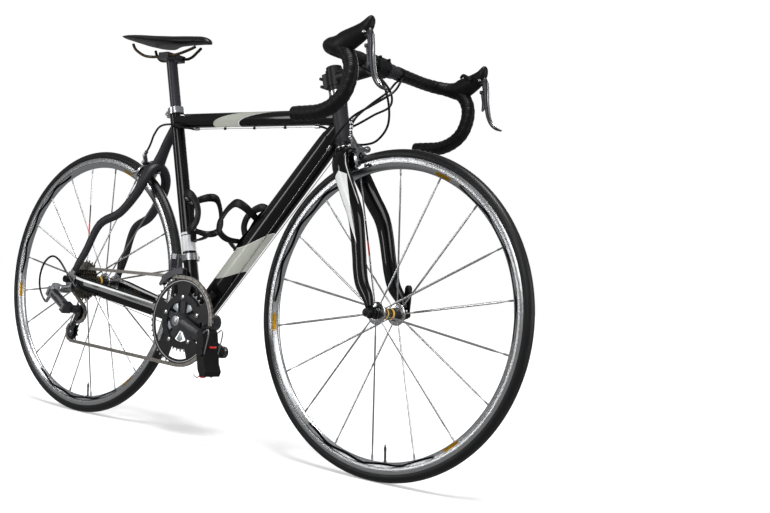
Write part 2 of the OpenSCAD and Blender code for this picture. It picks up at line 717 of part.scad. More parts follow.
module stem() {
  low = head_high + 34 * head_dir;
  high = head_high + 71 * head_dir;
  clamp_w = 42;
  color("#1a1b1d") {
    // spacers between the headset and the stem
    for (k = [0, 1]) difference() {
      rod(head_high + (12.2 + 10.8 * k) * head_dir, head_high + (22.8 + 10.8 * k) * head_dir, 18);
      rod(head_high, head_high + 80 * head_dir, steerer_r + run);
    }
    difference() {
      union() {
        rod(low, high, 19.5);
        rod(stem_seat, bar_p - 8 * stem_dir, 16);
        pin_y(bar_p, -clamp_w / 2, clamp_w / 2, bar_clamp_r + 5);
        translate(stem_seat) rotate([0, head_angle - 90, 0]) translate([-28, -10, -15]) cube([14, 20, 32]);
      }
      rod(head_high, head_high + 90 * head_dir, steerer_r + run);
      pin_y(bar_p, -clamp_w, clamp_w, bar_clamp_r + run);
      bar_clamp_cut(1.2);
      translate(stem_seat) rotate([0, head_angle - 90, 0]) translate([-40, -0.8, -30]) cube([28, 1.6, 60]);
    }
    // top cap
    rod(high + 0.2 * head_dir, high + 7 * head_dir, 17.5);
  }
  color("#c9ccce") {
    for (k = [-9, 9]) translate(stem_seat) rotate([0, head_angle - 90, 0])
      translate([-31.5, 0, k]) rotate([90, 0, 0]) cylinder(h = 24, r = 3.4, center = true);
    for (y = [-15, 15], k = [-1, 1]) translate(bar_p) rotate([0, -10.5, 0])
      translate([bar_clamp_r - 1.6, y, 13 * k]) rotate([0, 90, 0]) cylinder(h = 6, r = 3);
  }
}

// --- handlebar --------------------------------------------------------------------------------
// Half of the bar, from its end to the clamp: places from the clamp, then half-width and half-height
drop_end = 5;
bar_half_points = [
  [-30, bar_half, -138, 1, 1], [0, bar_half, -138, 1, 1], [34, bar_half, -136, 1, 1],
  [64, bar_half, -125, 1, 1], [86, bar_half, -106, 1, 1], [97, bar_half, -80, 1, 1],
  [98, bar_half, -54, 1, 1], [88, bar_half, -31, 1, 1], [69, bar_half, -15, 1, 1],
  [46, bar_half - 5, -8, 1, 1], [24, bar_half - 22, -5, 1.1, 0.95], [11, bar_half - 52, -3, 1.35, 0.9],
  [5, bar_half - 94, -1, 1.4, 0.9], [2, bar_half - 134, 0, 1.2, 0.96]];
function bar_side(t) = [for (q = bar_half_points)
  [bar_p.x + q[0], q[1], bar_p.z + q[2], bar_r * q[3] + t, bar_r * q[4] + t]];
function mirrored(s) = [for (i = [len(s) - 1:-1:0]) [s[i][0], -s[i][1], s[i][2], s[i][3], s[i][4]]];
clamp_ring = [bar_p.x, 0, bar_p.z, bar_clamp_r, bar_clamp_r];

module handlebar() {
  s = bar_side(0);
  wide = [[bar_p.x, 44, bar_p.z, bar_clamp_r, bar_clamp_r]];
  color("#1b1c1e") loft(concat(smooth(s, 2), wide, [clamp_ring], mirrored(wide), mirrored(smooth(s, 2))),
    12, [0, 1, 0]);
}

module tape_side() {
  difference() {
    loft(smooth(bar_side(tape_t), 2), 12, [0, 1, 0]);
    loft(concat([[bar_p.x - 34, bar_half, bar_p.z - 138, bar_r + lie, bar_r + lie]],
      smooth(bar_side(lie), 2),
      [[bar_p.x + 1, bar_half - 150, bar_p.z, bar_r * 1.2 + lie, bar_r * 0.96 + lie]]), 12, [0, 1, 0]);
  }
  translate([bar_p.x - 34, bar_half, bar_p.z - 138]) rotate([0, 90, 0])
    cylinder(h = 3.7, r = bar_r + tape_t);
}

module bar_tape() {
  color("#1a1b1d") for (m = [0, 1]) flip_y(m == 1) tape_side();
}

// --- brake and gear levers, the left-hand side; places are taken from the bar's clamp ---------
lever_p = bar_p + [128, bar_half - 2, 8];
hood_stations = [
  [78, bar_half, 0, 16, 18], [98, bar_half - 1, 3, 17, 18], [114, bar_half - 2, 10, 16, 17],
  [127, bar_half - 3, 20, 14, 13], [132, bar_half - 4, 32, 11, 8], [134, bar_half - 5, 40, 6, 4]];

module hood() {
  difference() {
    loft(smooth([for (q = hood_stations) [bar_p.x + q[0], q[1], bar_p.z + q[2], q[3], q[4]]], 2),
      14, [0, 1, 0]);
    loft(smooth([for (k = [4:10]) bar_side(tape_t + lie)[k]], 2), 12, [0, 1, 0]);
    translate([lever_p.x - 11, lever_p.y - 6.3, lever_p.z - 22]) cube([40, 12.6, 32]);
  }
}

module lever_hoods() {
  color("#202124") for (m = [0, 1]) flip_y(m == 1) {
    hood();
    pin_y(lever_p, lever_p.y - 12, lever_p.y + 12, 2.5);
  }
}

module brake_lever() {
  p = lever_p;
  difference() {
    union() {
      pin_y(p, p.y - 6, p.y + 6, 7.5);
      loft(smooth([
        [p.x + 4, p.y, p.z - 2, 6, 5], [p.x + 14, p.y, p.z - 15, 6, 4], [p.x + 17, p.y, p.z - 34, 6, 3.4],
        [p.x + 20, p.y, p.z - 60, 6, 3.2], [p.x + 24, p.y, p.z - 80, 6, 3],
        [p.x + 35, p.y, p.z - 96, 5.5, 3], [p.x + 60, p.y, p.z - 108, 4, 2.4]], 3), 12, [0, 1, 0]);
      rod([p.x - 3, p.y, p.z - 24], [p.x + 14, p.y, p.z - 24], 1.5);
    }
    pin_y(p, p.y - 10, p.y + 10, 2.5 + run);
  }
}

module shift_paddle() {
  p = lever_p;
  difference() {
    union() {
      rod([p.x - 2, p.y, p.z - 24], [p.x + 10, p.y, p.z - 24], 4);
      plate_y(p.y - 2, p.y + 2) {
        capsule([p.x + 4, p.z - 26], [p.x + 7, p.z - 44], 8);
        translate([p.x - 18, p.z - 56]) ring_sector(23, 31, -24, 28);
      }
    }
    rod([p.x - 20, p.y, p.z - 24], [p.x + 18, p.y, p.z - 24], 1.5 + run);
  }
}

module thumb_lever() {
  p = bar_p + [112, bar_half - 18.6, 8];
  pin_y(p, p.y - 9, p.y, 2);
  plate_y(p.y - 9, p.y - 4) {
    capsule([p.x, p.z], [p.x - 18, p.z + 9], 9);
    capsule([p.x - 18, p.z + 9], [p.x - 24, p.z + 4], 6);
  }
}

module brake_lever_right() {
  color("#a9adb1") flip_y(true) brake_lever();
}

module brake_lever_left() {
  color("#a9adb1") brake_lever();
}

module shift_paddle_right() {
  color("#3a3c3f") flip_y(true) shift_paddle();
}

module shift_paddle_left() {
  color("#3a3c3f") shift_paddle();
}

module thumb_lever_right() {
  color("#2c2d30") flip_y(true) thumb_lever();
}

module thumb_lever_left() {
  color("#2c2d30") thumb_lever();
}

// --- housings from the levers to the frame and the front brake --------------------------------
bar_exit = bar_half - 135.1;
shift_stop = [dt_stop_p.x, dt_stop_y, dt_stop_p.z] + 13.8 * dt_dir;
brake_stop = tt_stops[0] + tt_stop_drop * tt_down + 7.6 * tt_dir;

module bar_cables() {
  color("#101112") {
    // gear housings cross in front of the head tube
    cord([shift_stop, shift_stop + 12 * dt_dir + [0, 5, 0], [348, 33, 684], [385, 29, 692],
      [420, 15, 720], [436, -10, 760], [430, -32, 802], [bar_p.x + 18.5, 8 - bar_exit, bar_p.z - 11.5],
      [bar_p.x + 17, -bar_exit, bar_p.z - 10]], 2.4, [0, 1, 0], 3);
    cord(flip(concat([shift_stop, shift_stop + 12 * dt_dir + [0, 5, 0]], [[340, 41, 700], [375, 46, 728],
      [412, 34, 752], [440, 4, 784], [432, -28, 812], [bar_p.x + 18.5, 8 - bar_exit, bar_p.z - 11.5]],
      [[bar_p.x + 17, -bar_exit, bar_p.z - 10]])), 2.4, [0, 1, 0], 3);
    // brake housings
    cord([[360.2, -31, 702], [360, -30, 712], [370, -25, 734], [394, -10, 762], [414, 10, 788],
      [414, 34, 812], [bar_p.x + 10, bar_exit - 8, bar_p.z - 18],
      [bar_p.x + 8.5, bar_exit, bar_p.z - 15.5]], 2.5, [0, 1, 0], 3);
    cord(concat([brake_stop, brake_stop + 6 * tt_dir + [0, 1, 0]], [[266, 22, 714], [290, 31, 716],
      [326, 35, 730], [364, 37, 748], [404, 36, 764], [424, 10, 786], [420, -30, 812],
      [bar_p.x + 10, 8 - bar_exit, bar_p.z - 18]],
      [[bar_p.x + 8.5, -bar_exit, bar_p.z - 15.5]]), 2.5, [0, 1, 0], 3);
  }
}
function flip(p) = [for (q = p) [q.x, -q.y, q.z]];

// --- wheels -----------------------------------------------------------------------------------
module about_axle(p) {
  translate(p) rotate([90, 0, 0]) children();
}

module tyre(p) {
  color("#151515") about_axle(p) rotate_extrude($fn = 96) difference() {
    union() {
      intersection() {
        translate([tyre_ring, 0]) circle(r = tyre_r);
        translate([rim_top + 0.05, -tyre_w]) square([40, 2 * tyre_w]);
      }
      translate([rim_top - 5, 1.5 - rim_w / 2]) square([6, rim_w - 3]);
    }
    translate([tyre_ring, 0]) circle(r = tyre_r - 2.6);
  }
}

module rim(p) {
  h = rim_w / 2;
  valve = unit([3, 0, -28]);
  color("#c3c6c8") {
    about_axle(p) rotate_extrude($fn = 96) difference() {
      polygon([[rim_top, -h], [rim_top, -h + 1.4], [rim_top - 5.1, -h + 1.4], [rim_top - 5.1, -4],
        [rim_top - 7.5, -3], [rim_top - 7.5, 3], [rim_top - 5.1, 4], [rim_top - 5.1, h - 1.4],
        [rim_top, h - 1.4], [rim_top, h], [rim_top - 12, h], [rim_low + 3, 4.5], [rim_low, 2.5],
        [rim_low, -2.5], [rim_low + 3, -4.5], [rim_top - 12, -h]]);
      polygon([[rim_top - 9, -h + 1.6], [rim_top - 9, h - 1.6], [rim_top - 12.5, h - 1.6],
        [rim_low + 3.4, 2.9], [rim_low + 1.6, 1.6], [rim_low + 1.6, -1.6], [rim_low + 3.4, -2.9],
        [rim_top - 12.5, -h + 1.6]]);
    }
    rod(p + (rim_low - 34) * valve, p + rim_low * valve, 3);
  }
}

// Straight spokes from the hub's flanges to the rim, with their nipples
module spoke_side(p, n, flange_y, first) {
  for (k = [0:n - 1]) let (a = first + 360 * k / n) {
    hub = p + (flange_r + 0.1) * [cos(a), 0, sin(a)] + [0, flange_y, 0];
    out = p + (rim_low - 0.1) * [cos(a), 0, sin(a)] + [0, flange_y > 0 ? 1.2 : -1.2, 0];
    rod(hub, out, spoke_r);
    rod(out - 9 * unit(out - hub), out, 2.1);
  }
}

module hub_shell(p, y0, y1, f0, f1, barrel) {
  about_axle(p) rotate_extrude() difference() {
    union() {
      translate([0, -y1]) square([11, y1 - y0]);
      translate([0, -f1]) square([barrel, f1 - f0]);
      for (f = [f0, f1]) translate([0, -f - 2.5]) square([flange_r, 5]);
    }
    translate([-1, -y1 - 1]) square([axle_r + run + 1, y1 - y0 + 2]);
  }
}

// Hollow axle with its locknuts, and the quick-release skewer through it
module wheel_axle(p, old) {
  half = old / 2 + dropout_t;
  color("#8f9396") {
    difference() {
      union() {
        pin_y(p, -half + 0.5, half - 0.5, axle_r);
        pin_y(p, -old / 2, -old / 2 + 6, 8);
        pin_y(p, old / 2 - 6, old / 2, 8);
      }
      pin_y(p, -half, half, 2.6);
    }
    pin_y(p, -half - 4, half + 3, 2.5);
  }
  color("#1c1d1f") {
    difference() {
      pin_y(p, -half - 13, -half, 8.5);
      pin_y(p, -half - 4.1, -half + 1, 2.5);
    }
    difference() {
      union() {
        pin_y(p, half, half + 6, 9);
        translate([p.x - 3, half + 5, p.z - 6]) cube([6, 6, 12]);
        translate([p.x - 3, half + 11, p.z]) rotate([0, 90, 0]) cylinder(h = 6, r = 8);
      }
      pin_y(p, half - 1, half + 3.1, 2.5);
      translate([p.x - 5, half + 11, p.z]) rotate([0, 90, 0]) cylinder(h = 10, r = 5 + run);
    }
  }
}

module qr_lever(p, old) {
  y = old / 2 + dropout_t + 11;
  color("#26272a") {
    translate([p.x - 8, y, p.z]) rotate([0, 90, 0]) cylinder(h = 16, r = 5);
    for (x = [-8, 3.4]) translate([p.x + x, y - 2, p.z]) cube([4.6, 4, 14]);
    translate([p.x - 8, y - 2, p.z + 10]) cube([16, 4, 44]);
    translate([p.x, y + 2, p.z + 54]) rotate([90, 0, 0]) cylinder(h = 4, r = 8);
  }
}

module front_tyre() {
  tyre(front_axle_p);
}

module front_rim() {
  rim(front_axle_p);
}

module front_spokes() {
  color("#b9bdc1") for (m = [0, 1])
    spoke_side(front_axle_p, front_spoke_n / 2, (1 - 2 * m) * front_flange_y,
      10 + 360 / front_spoke_n * m);
}

module front_hub() {
  color("#2a2b2d") hub_shell(front_axle_p, -43, 43, -front_flange_y, front_flange_y, 14);
}

module front_axle() {
  wheel_axle(front_axle_p, front_old);
}

module front_qr_lever() {
  qr_lever(front_axle_p, front_old);
}

module rear_tyre() {
  tyre(rear_axle_p);
}

module rear_rim() {
  rim(rear_axle_p);
}

module rear_spokes() {
  color("#b9bdc1") {
    spoke_side(rear_axle_p, rear_spoke_n / 2, rear_flange_left, 9);
    spoke_side(rear_axle_p, rear_spoke_n / 2, -rear_flange_right, 9 + 360 / rear_spoke_n);
  }
}

module rear_hub() {
  color("#2a2b2d")
    hub_shell(rear_axle_p, -rear_flange_right - 2.6, 58, -rear_flange_right, rear_flange_left, 15);
}

module rear_axle() {
  wheel_axle(rear_axle_p, rear_old);
}

module rear_qr_lever() {
  qr_lever(rear_axle_p, rear_old);
}

// --- cassette ---------------------------------------------------------------------------------
module cassette() {
  core = 17;
  first_y = -chain_y - chain_cog * cog_gap;
  last_y = first_y + (len(cogs) - 1) * cog_gap;
  color("#8d8578") difference() {
    union() {
      pin_y(rear_axle_p, first_y - 1.2, last_y + 1.5, core);
      for (i = [0:len(cogs) - 1]) let (y = first_y + i * cog_gap)
        translate([rear_axle_p.x, 0, rear_axle_p.z]) plate_y(y - cog_t / 2, y + cog_t / 2)
          polygon(gear_points(cogs[i]));
    }
    pin_y(rear_axle_p, -rear_old, 0, axle_r + run);
    pin_y(rear_axle_p, -rear_old, first_y + 3, 10);
  }
}

// --- cranks -----------------------------------------------------------------------------------
module ring_bolt_places(r = ring_bolt_r) {
  for (k = [0:4]) translate([bb_p.x + r * cos(90 - 72 * k), 0, bb_p.z + r * sin(90 - 72 * k)]) children();
}
arm_dir = [cos(crank_angle), 0, sin(crank_angle)];
ring_in_y = -chain_y + ring_drop;

module crank_arm() {
  loft([for (q = [[0, -55, 17, 8.5], [30, -56, 16, 8], [70, -58, 14.5, 7], [120, -62, 13, 6.5],
    [crank_len, -66.4, 12.5, 6.4]])
    let (c = bb_p + q[0] * arm_dir) [c.x, q[1], c.z, q[3], q[2]]], 16, [0, 1, 0]);
  pin_y(bb_p, -63, -46, 19);
  pin_y(pedal_p, -pedal_out, -60, 13);
}

module pedal_spindle(p) {
  pin_y(p, -132, -61, 5);
  pin_y(p, -pedal_out - 5, -pedal_out, 8);
}

module crank_right() {
  color("#17181a") difference() {
    union() {
      crank_arm();
      plate_y(-chain_y + ring_t / 2 + 0.1, ring_in_y - ring_t / 2 - 0.1) for (k = [0:4])
        capsule([bb_p.x, bb_p.z],
          [bb_p.x + ring_bolt_r * cos(90 - 72 * k), bb_p.z + ring_bolt_r * sin(90 - 72 * k)], 16);
      pin_y(bb_p, -47, -bb_w / 2 - 7.4, 19);
      pin_y(bb_p, -bb_w / 2 - 8, -0.02, crank_axle_r);
    }
    ring_bolt_places() pin_y([0, 0, 0], -60, 0, 4);
    pin_y(pedal_p, -80, 0, 5);
    pin_y(bb_p, -80, 1, 8);
  }
  color("#8f9396") pedal_spindle(pedal_p);
}

module crank_left() {
  color("#17181a") mirror([0, 1, 0]) translate(bb_p) rotate([0, 180, 0]) translate(-bb_p) difference() {
    union() {
      crank_arm();
      pin_y(bb_p, -47, -bb_w / 2 - 7.4, 19);
      pin_y(bb_p, -bb_w / 2 - 8, -0.02, crank_axle_r);
    }
    pin_y(pedal_p, -80, 0, 5);
    pin_y(bb_p, -80, 1, 8);
  }
  color("#8f9396") mirror([0, 1, 0]) pedal_spindle(pedal_left_p);
}

module chainring_outer() {
  color("#1d1e20") difference() {
    translate([bb_p.x, 0, bb_p.z]) plate_y(-chain_y - ring_t / 2, -chain_y + ring_t / 2) difference() {
      polygon(gear_points(ring_outer_n));
      circle(r = ring_bolt_r - 8);
      for (k = [0:4]) rotate(54 - 72 * k) ring_sector(ring_bolt_r + 8, pitch_r(ring_outer_n) - 14, -20, 20);
    }
    ring_bolt_places() pin_y([0, 0, 0], -60, 0, 4.1);
  }
}

module chainring_inner() {
  color("#c9ccce") {
    difference() {
      translate([bb_p.x, 0, bb_p.z]) plate_y(ring_in_y - ring_t / 2, ring_in_y + ring_t / 2) difference() {
        polygon(gear_points(ring_inner_n));
        circle(r = ring_bolt_r - 7);
      }
      ring_bolt_places() pin_y([0, 0, 0], -60, 0, 4.1);
    }
    // chainring bolts
    ring_bolt_places() {
      pin_y([0, 0, 0], -chain_y - ring_t / 2, ring_in_y + ring_t / 2, 3.9);
      pin_y([0, 0, 0], -chain_y - ring_t / 2 - 1.4, -chain_y - ring_t / 2, 5.2);
      pin_y([0, 0, 0], ring_in_y + ring_t / 2, ring_in_y + ring_t / 2 + 1.2, 5.2);
    }
  }
}

// --- pedals, hanging by their heavier rear half -----------------------------------------------
module pedal(p) {
  difference() {
    union() {
      pin_y(p, -134, -79, 10);
      translate([p.x, 0, p.z]) rotate([0, -12, 0]) plate_y(-131, -86) polygon([[-8, 44], [4, 50], [9, 40],
        [10, 6], [9, -26], [14, -44], [8, -54], [-5, -52], [-11, -36], [-12, -10], [-10, 20]]);
      translate([p.x, 0, p.z]) rotate([0, -12, 0]) plate_y(-120, -97) polygon([[-6, 48], [2, 56], [8, 50],
        [8, 44], [-6, 42]]);
    }
    pin_y(p, -132.5, -70, 5 + run);
  }
}

module pedal_right() {
  color("#1b1c1e") pedal(pedal_p);
}

module pedal_left() {
  color("#1b1c1e") mirror([0, 1, 0]) pedal(pedal_left_p);
}

// --- rear derailleur: its links lie in a frame with +X along them -----------------------------
rd_pin_y = 7;
rd_eye = 4.4;
rd_half = 9;
rd_lug = 3.2;

module rd_frame(p) {
  translate(p) rotate([0, rd_tilt, 0]) children();
}

module rd_lugs(x0, x1, pin_x, web0, web1) {
  for (z = [rd_half + 0.3, -rd_half - 0.3 - rd_lug])
    translate([x0, -rd_pin_y - 5, z]) cube([x1 - x0, 2 * rd_pin_y + 10, rd_lug]);
  translate([web0, -rd_pin_y - 5, -rd_half - 0.3 - rd_lug])
    cube([web1 - web0, 2 * rd_pin_y + 10, 2 * (rd_half + 0.3 + rd_lug)]);
  for (m = [-1, 1]) translate([pin_x, m * rd_pin_y, -rd_half - 1]) cylinder(h = 2 * rd_half + 2, r = 2);
}

module rd_upper_knuckle() {
  color("#7e8286") {
    rd_frame(rd_rear) rd_lugs(-13, 4, 0, -13, -6);
    difference() {
      union() {
        rd_frame(rd_rear) translate([-12, -6, rd_half + 0.3]) cube([12, 12, 12]);
        plate_y(rd_rear.y - 5, rd_rear.y + 5)
          capsule([rd_rear.x + 5, rd_rear.z + 19], [hanger_p.x, hanger_p.z], 14);
        pin_y(hanger_p, rd_rear.y - 8, -rear_old / 2 - dropout_t - 0.1, 10);
      }
      pin_y(hanger_p, -200, 0, 5);
    }
    pin_y(hanger_p, rd_rear.y - 11, -rear_old / 2, 5);
    rod(rd_rear + [-11, 0, -5], [-546, -80, 271], 4.2);
  }
}

module rd_link_bar(y) {
  rd_frame(rd_rear) translate([0, y, -rd_half]) linear_extrude(2 * rd_half) difference() {
    union() {
      capsule([0, 0], [rd_link, 0], 4);
      circle(r = rd_eye);
      translate([rd_link, 0]) circle(r = rd_eye);
    }
    circle(r = 2 + run);
    translate([rd_link, 0]) circle(r = 2 + run);
  }
}

module rd_outer_link() {
  color("#c7cacc") rd_link_bar(-rd_pin_y);
}

module rd_inner_link() {
  color("#9a9da0") rd_link_bar(rd_pin_y);
}

module rd_lower_knuckle() {
  color("#1d1e20") {
    rd_frame(rd_front) rd_lugs(-4, 13, 0, 6.5, 13);
    difference() {
      union() {
        pin_y(rd_pivot, rd_front.y + 11, -chain_y - 7, 10);
        rd_frame(rd_front) translate([7, rd_pin_y + 2, -9]) cube([7, 10, 18]);
      }
      pin_y(rd_pivot, -100, 0, 4 + run);
    }
  }
}

module rd_cage() {
  color("#202124") {
    for (y = [[-6.5, -4.9], [4.9, 6.5]]) difference() {
      plate_y(y[0] - chain_y, y[1] - chain_y) {
        capsule([rd_pivot.x, rd_pivot.z], [guide_p.x, guide_p.z], 22);
        capsule([guide_p.x, guide_p.z], [tension_p.x, tension_p.z], 15);
        translate([tension_p.x, tension_p.z]) circle(r = 12);
      }
      plate_y(-100, 0)
        capsule([guide_p.x - 4, guide_p.z - 22], [tension_p.x + 6, tension_p.z + 18], 6);
    }
    for (q = [guide_p, tension_p]) pin_y(q, -chain_y - 5, -chain_y + 5, 3);
    pin_y(rd_pivot, rd_front.y + 13, -chain_y - 6.4, 4);
  }
}

module pulley(p) {
  difference() {
    union() {
      translate([p.x, 0, p.z]) plate_y(-chain_y - 0.95, -chain_y + 0.95) polygon(gear_points(pulley_n));
      pin_y(p, -chain_y - 4.6, -chain_y + 4.6, 6);
    }
    pin_y(p, -100, 0, 3 + run);
  }
}

module rd_guide_pulley() {
  color("#2c2d30") pulley(guide_p);
}

module rd_tension_pulley() {
  color("#2c2d30") pulley(tension_p);
}

// --- brakes -----------------------------------------------------------------------------------
brake_side_pin = [19, 0];
brake_ring_z = 15 - brake_reach;

// Outline drawn across the brake, in Y and Z, from x0 to x1 along its centre bolt
module across(x0, x1) {
  translate([x0, 0, 0]) rotate([90, 0, 90]) linear_extrude(x1 - x0) children();
}

module brake_mount(len) {
  across(2, 7.5) capsule([0, 0], brake_side_pin, 13);
  across(-len, 14.6) circle(r = 4);
  across(7, 23) translate(brake_side_pin) circle(r = 3);
}

module brake_pad(m) {
  y0 = rim_w / 2 + 1.45;
  z = -brake_reach - 2.5;
  translate([-11, m > 0 ? y0 : -y0 - 4, z - 4]) cube([50, 4, 8]);
  translate([-6, m > 0 ? y0 + 3 : -y0 - 8, z - 3.5]) cube([38, 5, 8]);
}

// The arm that turns on the centre bolt and carries the left-hand pad
module brake_arm_left() {
  difference() {
    union() {
      across(8, 14) {
        translate([0, brake_ring_z]) ring_sector(19, 27, -34, 92);
        circle(r = 9);
        capsule([0, 0], [-29, 2], 10);
      }
      brake_pad(1);
    }
    across(-40, 40) circle(r = 4 + run);
  }
}

// The arm that turns on the side bolt and carries the right-hand pad
module brake_arm_right() {
  difference() {
    union() {
      across(15, 21) {
        translate([0, brake_ring_z]) ring_sector(19, 27, 88, 214);
        translate(brake_side_pin) circle(r = 7);
        capsule(brake_side_pin, [-10, -6], 10);
        capsule([-12, -6], [-31, 19], 9);
      }
      brake_pad(-1);
      translate([18, -31, 15]) cylinder(h = 16, r = 3.8);
    }
    across(-40, 40) translate(brake_side_pin) circle(r = 3 + run);
  }
}

module front_brake_mount() {
  color("#a7abaf") front_brake_frame() {
    brake_mount(38);
    difference() {
      across(-1.5, 2) circle(r = 7);
      across(-10, 10) circle(r = 4);
    }
  }
}

module front_brake_arm_right() {
  color("#c9ccce") front_brake_frame() brake_arm_right();
}

module front_brake_arm_left() {
  color("#c9ccce") front_brake_frame() brake_arm_left();
}

module rear_brake_arm_right() {
  color("#c9ccce") rear_brake_frame() brake_arm_right();
}

module rear_brake_arm_left() {
  color("#c9ccce") rear_brake_frame() brake_arm_left();
}

// --- seatpost and saddle ----------------------------------------------------------------------
clamp_p = seat_top + post_out * seat_dir;
rail_r = 3.5;
rail_y = 22;
rail_z = 4;

module seatpost() {
  color("#1a1b1e") {
    difference() {
      rod(seat_top - post_in * seat_dir, clamp_p - 4 * seat_dir, post_r);
      rod(seat_top - (post_in + 2) * seat_dir, clamp_p - 20 * seat_dir, post_r - 2.2);
    }
    difference() {
      translate([clamp_p.x - 17, -28, clamp_p.z - 4]) cube([34, 56, 16]);
      for (m = [-1, 1]) translate([clamp_p.x - 40, m * rail_y, clamp_p.z + rail_z])
        rotate([0, 90, 0]) cylinder(h = 80, r = rail_r + run);
      rod(seat_top, clamp_p - 4 * seat_dir, post_r);
    }
  }
}

saddle_stations = [
  [-0.504, 52, 0.28, 5], [-0.47, 53, 0.43, 8], [-0.38, 50, 0.5, 11], [-0.22, 46, 0.44, 13],
  [-0.06, 43, 0.29, 14],
  [0.08, 41, 0.19, 14], [0.24, 39, 0.14, 13.5], [0.38, 37, 0.125, 12], [0.465, 33, 0.09, 9],
  [0.496, 29, 0.04, 4]];

module saddle() {
  color("#17181a") loft(smooth([for (q = saddle_stations)
    [clamp_p.x + saddle_len * q[0], 0, clamp_p.z + q[1], saddle_w * q[2], q[3]]], 2), 24, [0, 1, 0]);
}

module saddle_rails() {
  x = clamp_p.x;
  z = clamp_p.z + rail_z;
  color("#5b4a33") for (m = [-1, 1]) loft(smooth([for (q = [
    [-0.4, 36, 32.6], [-0.36, 34, 18], [-0.27, 27, 4], [-0.17, rail_y, 0], [-0.09, rail_y, 0],
    [0.09, rail_y, 0], [0.13, rail_y, 0], [0.2, 19, 4], [0.28, 13, 12], [0.34, 9, 19]])
    [x + saddle_len * q[0], m * q[1], z + q[2], rail_r, rail_r]], 2), 8, [0, 1, 0]);
}

top_tube();
down_tube();
seat_tube();
head_tube();
bottom_bracket_shell();
chain_stays();
seat_stays();
bearing_cups();
front_derailleur();
frame_fittings();
bottle_cages();
chain();
rear_cables();
rear_axle();
rd_upper_knuckle();
fork();
stem();
handlebar();
bar_tape();
lever_hoods();
front_axle();
bar_cables();
front_brake_mount();
front_tyre();
front_rim();
front_spokes();
front_hub();
rear_tyre();
rear_rim();
rear_spokes();
rear_hub();
cassette();
crank_right();
chainring_outer();
chainring_inner();
crank_left();
pedal_right();
pedal_left();
rd_outer_link();
rd_inner_link();
rd_lower_knuckle();
rd_cage();
rd_guide_pulley();
rd_tension_pulley();
fd_cage();
brake_lever_right();
brake_lever_left();
shift_paddle_right();
shift_paddle_left();
thumb_lever_right();
thumb_lever_left();
front_brake_arm_right();
front_brake_arm_left();
rear_brake_arm_right();
rear_brake_arm_left();
front_qr_lever();
rear_qr_lever();
seatpost();
saddle();
saddle_rails();
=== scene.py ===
"""Road racing bicycle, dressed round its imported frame. Every size is in millimetres until finish."""
import logging
import math
from dataclasses import dataclass
from enum import Enum
from typing import Iterable, Sequence

import bmesh
import bpy
from mathutils import Matrix, Vector


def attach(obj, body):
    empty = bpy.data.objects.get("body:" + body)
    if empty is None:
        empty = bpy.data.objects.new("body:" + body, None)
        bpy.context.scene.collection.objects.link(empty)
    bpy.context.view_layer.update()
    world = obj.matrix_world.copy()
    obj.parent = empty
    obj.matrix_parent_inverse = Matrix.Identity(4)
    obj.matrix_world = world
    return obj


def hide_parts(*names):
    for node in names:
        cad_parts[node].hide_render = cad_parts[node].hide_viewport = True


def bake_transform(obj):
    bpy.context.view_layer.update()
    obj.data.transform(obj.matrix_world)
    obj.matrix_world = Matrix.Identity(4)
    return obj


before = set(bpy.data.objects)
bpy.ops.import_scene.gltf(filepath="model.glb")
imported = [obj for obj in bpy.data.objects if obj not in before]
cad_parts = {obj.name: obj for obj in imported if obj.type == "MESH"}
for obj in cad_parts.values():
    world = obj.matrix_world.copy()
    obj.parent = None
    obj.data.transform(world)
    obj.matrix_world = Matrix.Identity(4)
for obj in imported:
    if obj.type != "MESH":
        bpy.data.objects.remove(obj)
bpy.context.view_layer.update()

LOG = logging.getLogger("bicycle")
METRES = 0.001
Colour = tuple[float, float, float]
Socket = bpy.types.NodeSocket


def direction(degrees: float) -> Vector:
    """Unit vector in the centre plane, at an angle above the forward horizontal."""
    a = math.radians(degrees)
    return Vector((math.cos(a), 0.0, math.sin(a)))


def ring_radius(teeth: int) -> float:
    """Pitch radius of a wheel with this many teeth of the chain's pitch."""
    return 12.7 / 2 / math.sin(math.pi / teeth)


# --- places ------------------------------------------------------------------------------------
REAR = Vector((-475, 0, 334))
FRONT = Vector((475, 0, 334))
BB = Vector((-75, 0, 266))
SEAT_DIR = direction(180 - 73.9)
HEAD_DIR = direction(180 - 73.5)
HEAD_FWD = direction(90 - 73.5)
SEAT_TOP = BB + 524 * SEAT_DIR
CROWN = FRONT - 50 * HEAD_FWD + 366 * HEAD_DIR
HEAD_LOW = CROWN + 8 * HEAD_DIR
HEAD_HIGH = HEAD_LOW + 96 * HEAD_DIR
TT_REAR = BB + 495 * SEAT_DIR
TT_FRONT = HEAD_LOW + 62 * HEAD_DIR
DT_FRONT = HEAD_LOW + 42 * HEAD_DIR
TT_DIR = (TT_FRONT - TT_REAR).normalized()
DT_DIR = (DT_FRONT - BB).normalized()
TT_DOWN = Vector((TT_DIR.z, 0, -TT_DIR.x))
DT_UP = Vector((-DT_DIR.z, 0, DT_DIR.x))
SEAT_FWD = Vector((SEAT_DIR.z, 0, -SEAT_DIR.x))
STEM_SEAT = HEAD_HIGH + 52 * HEAD_DIR
STEM_DIR = direction(10.5)
BAR = STEM_SEAT + 115 * STEM_DIR
BAR_HALF = 204
BAR_R = 11.9
TYRE_R = 334
RIM_TOP = 317
RIM_LOW = 293
CHAIN_Y = 46.5
ARM_DIR = direction(-18)
PEDAL = BB + 172.5 * ARM_DIR
PEDAL_LEFT = BB - 172.5 * ARM_DIR
GUIDE = REAR + Vector((25, -CHAIN_Y, -82))
TENSION = REAR + Vector((4, -CHAIN_Y, -132))
RD_X = direction(-28.6)
RD_Z = direction(90 - 28.6)
RD_REAR = REAR + Vector((-45, -80, -39))
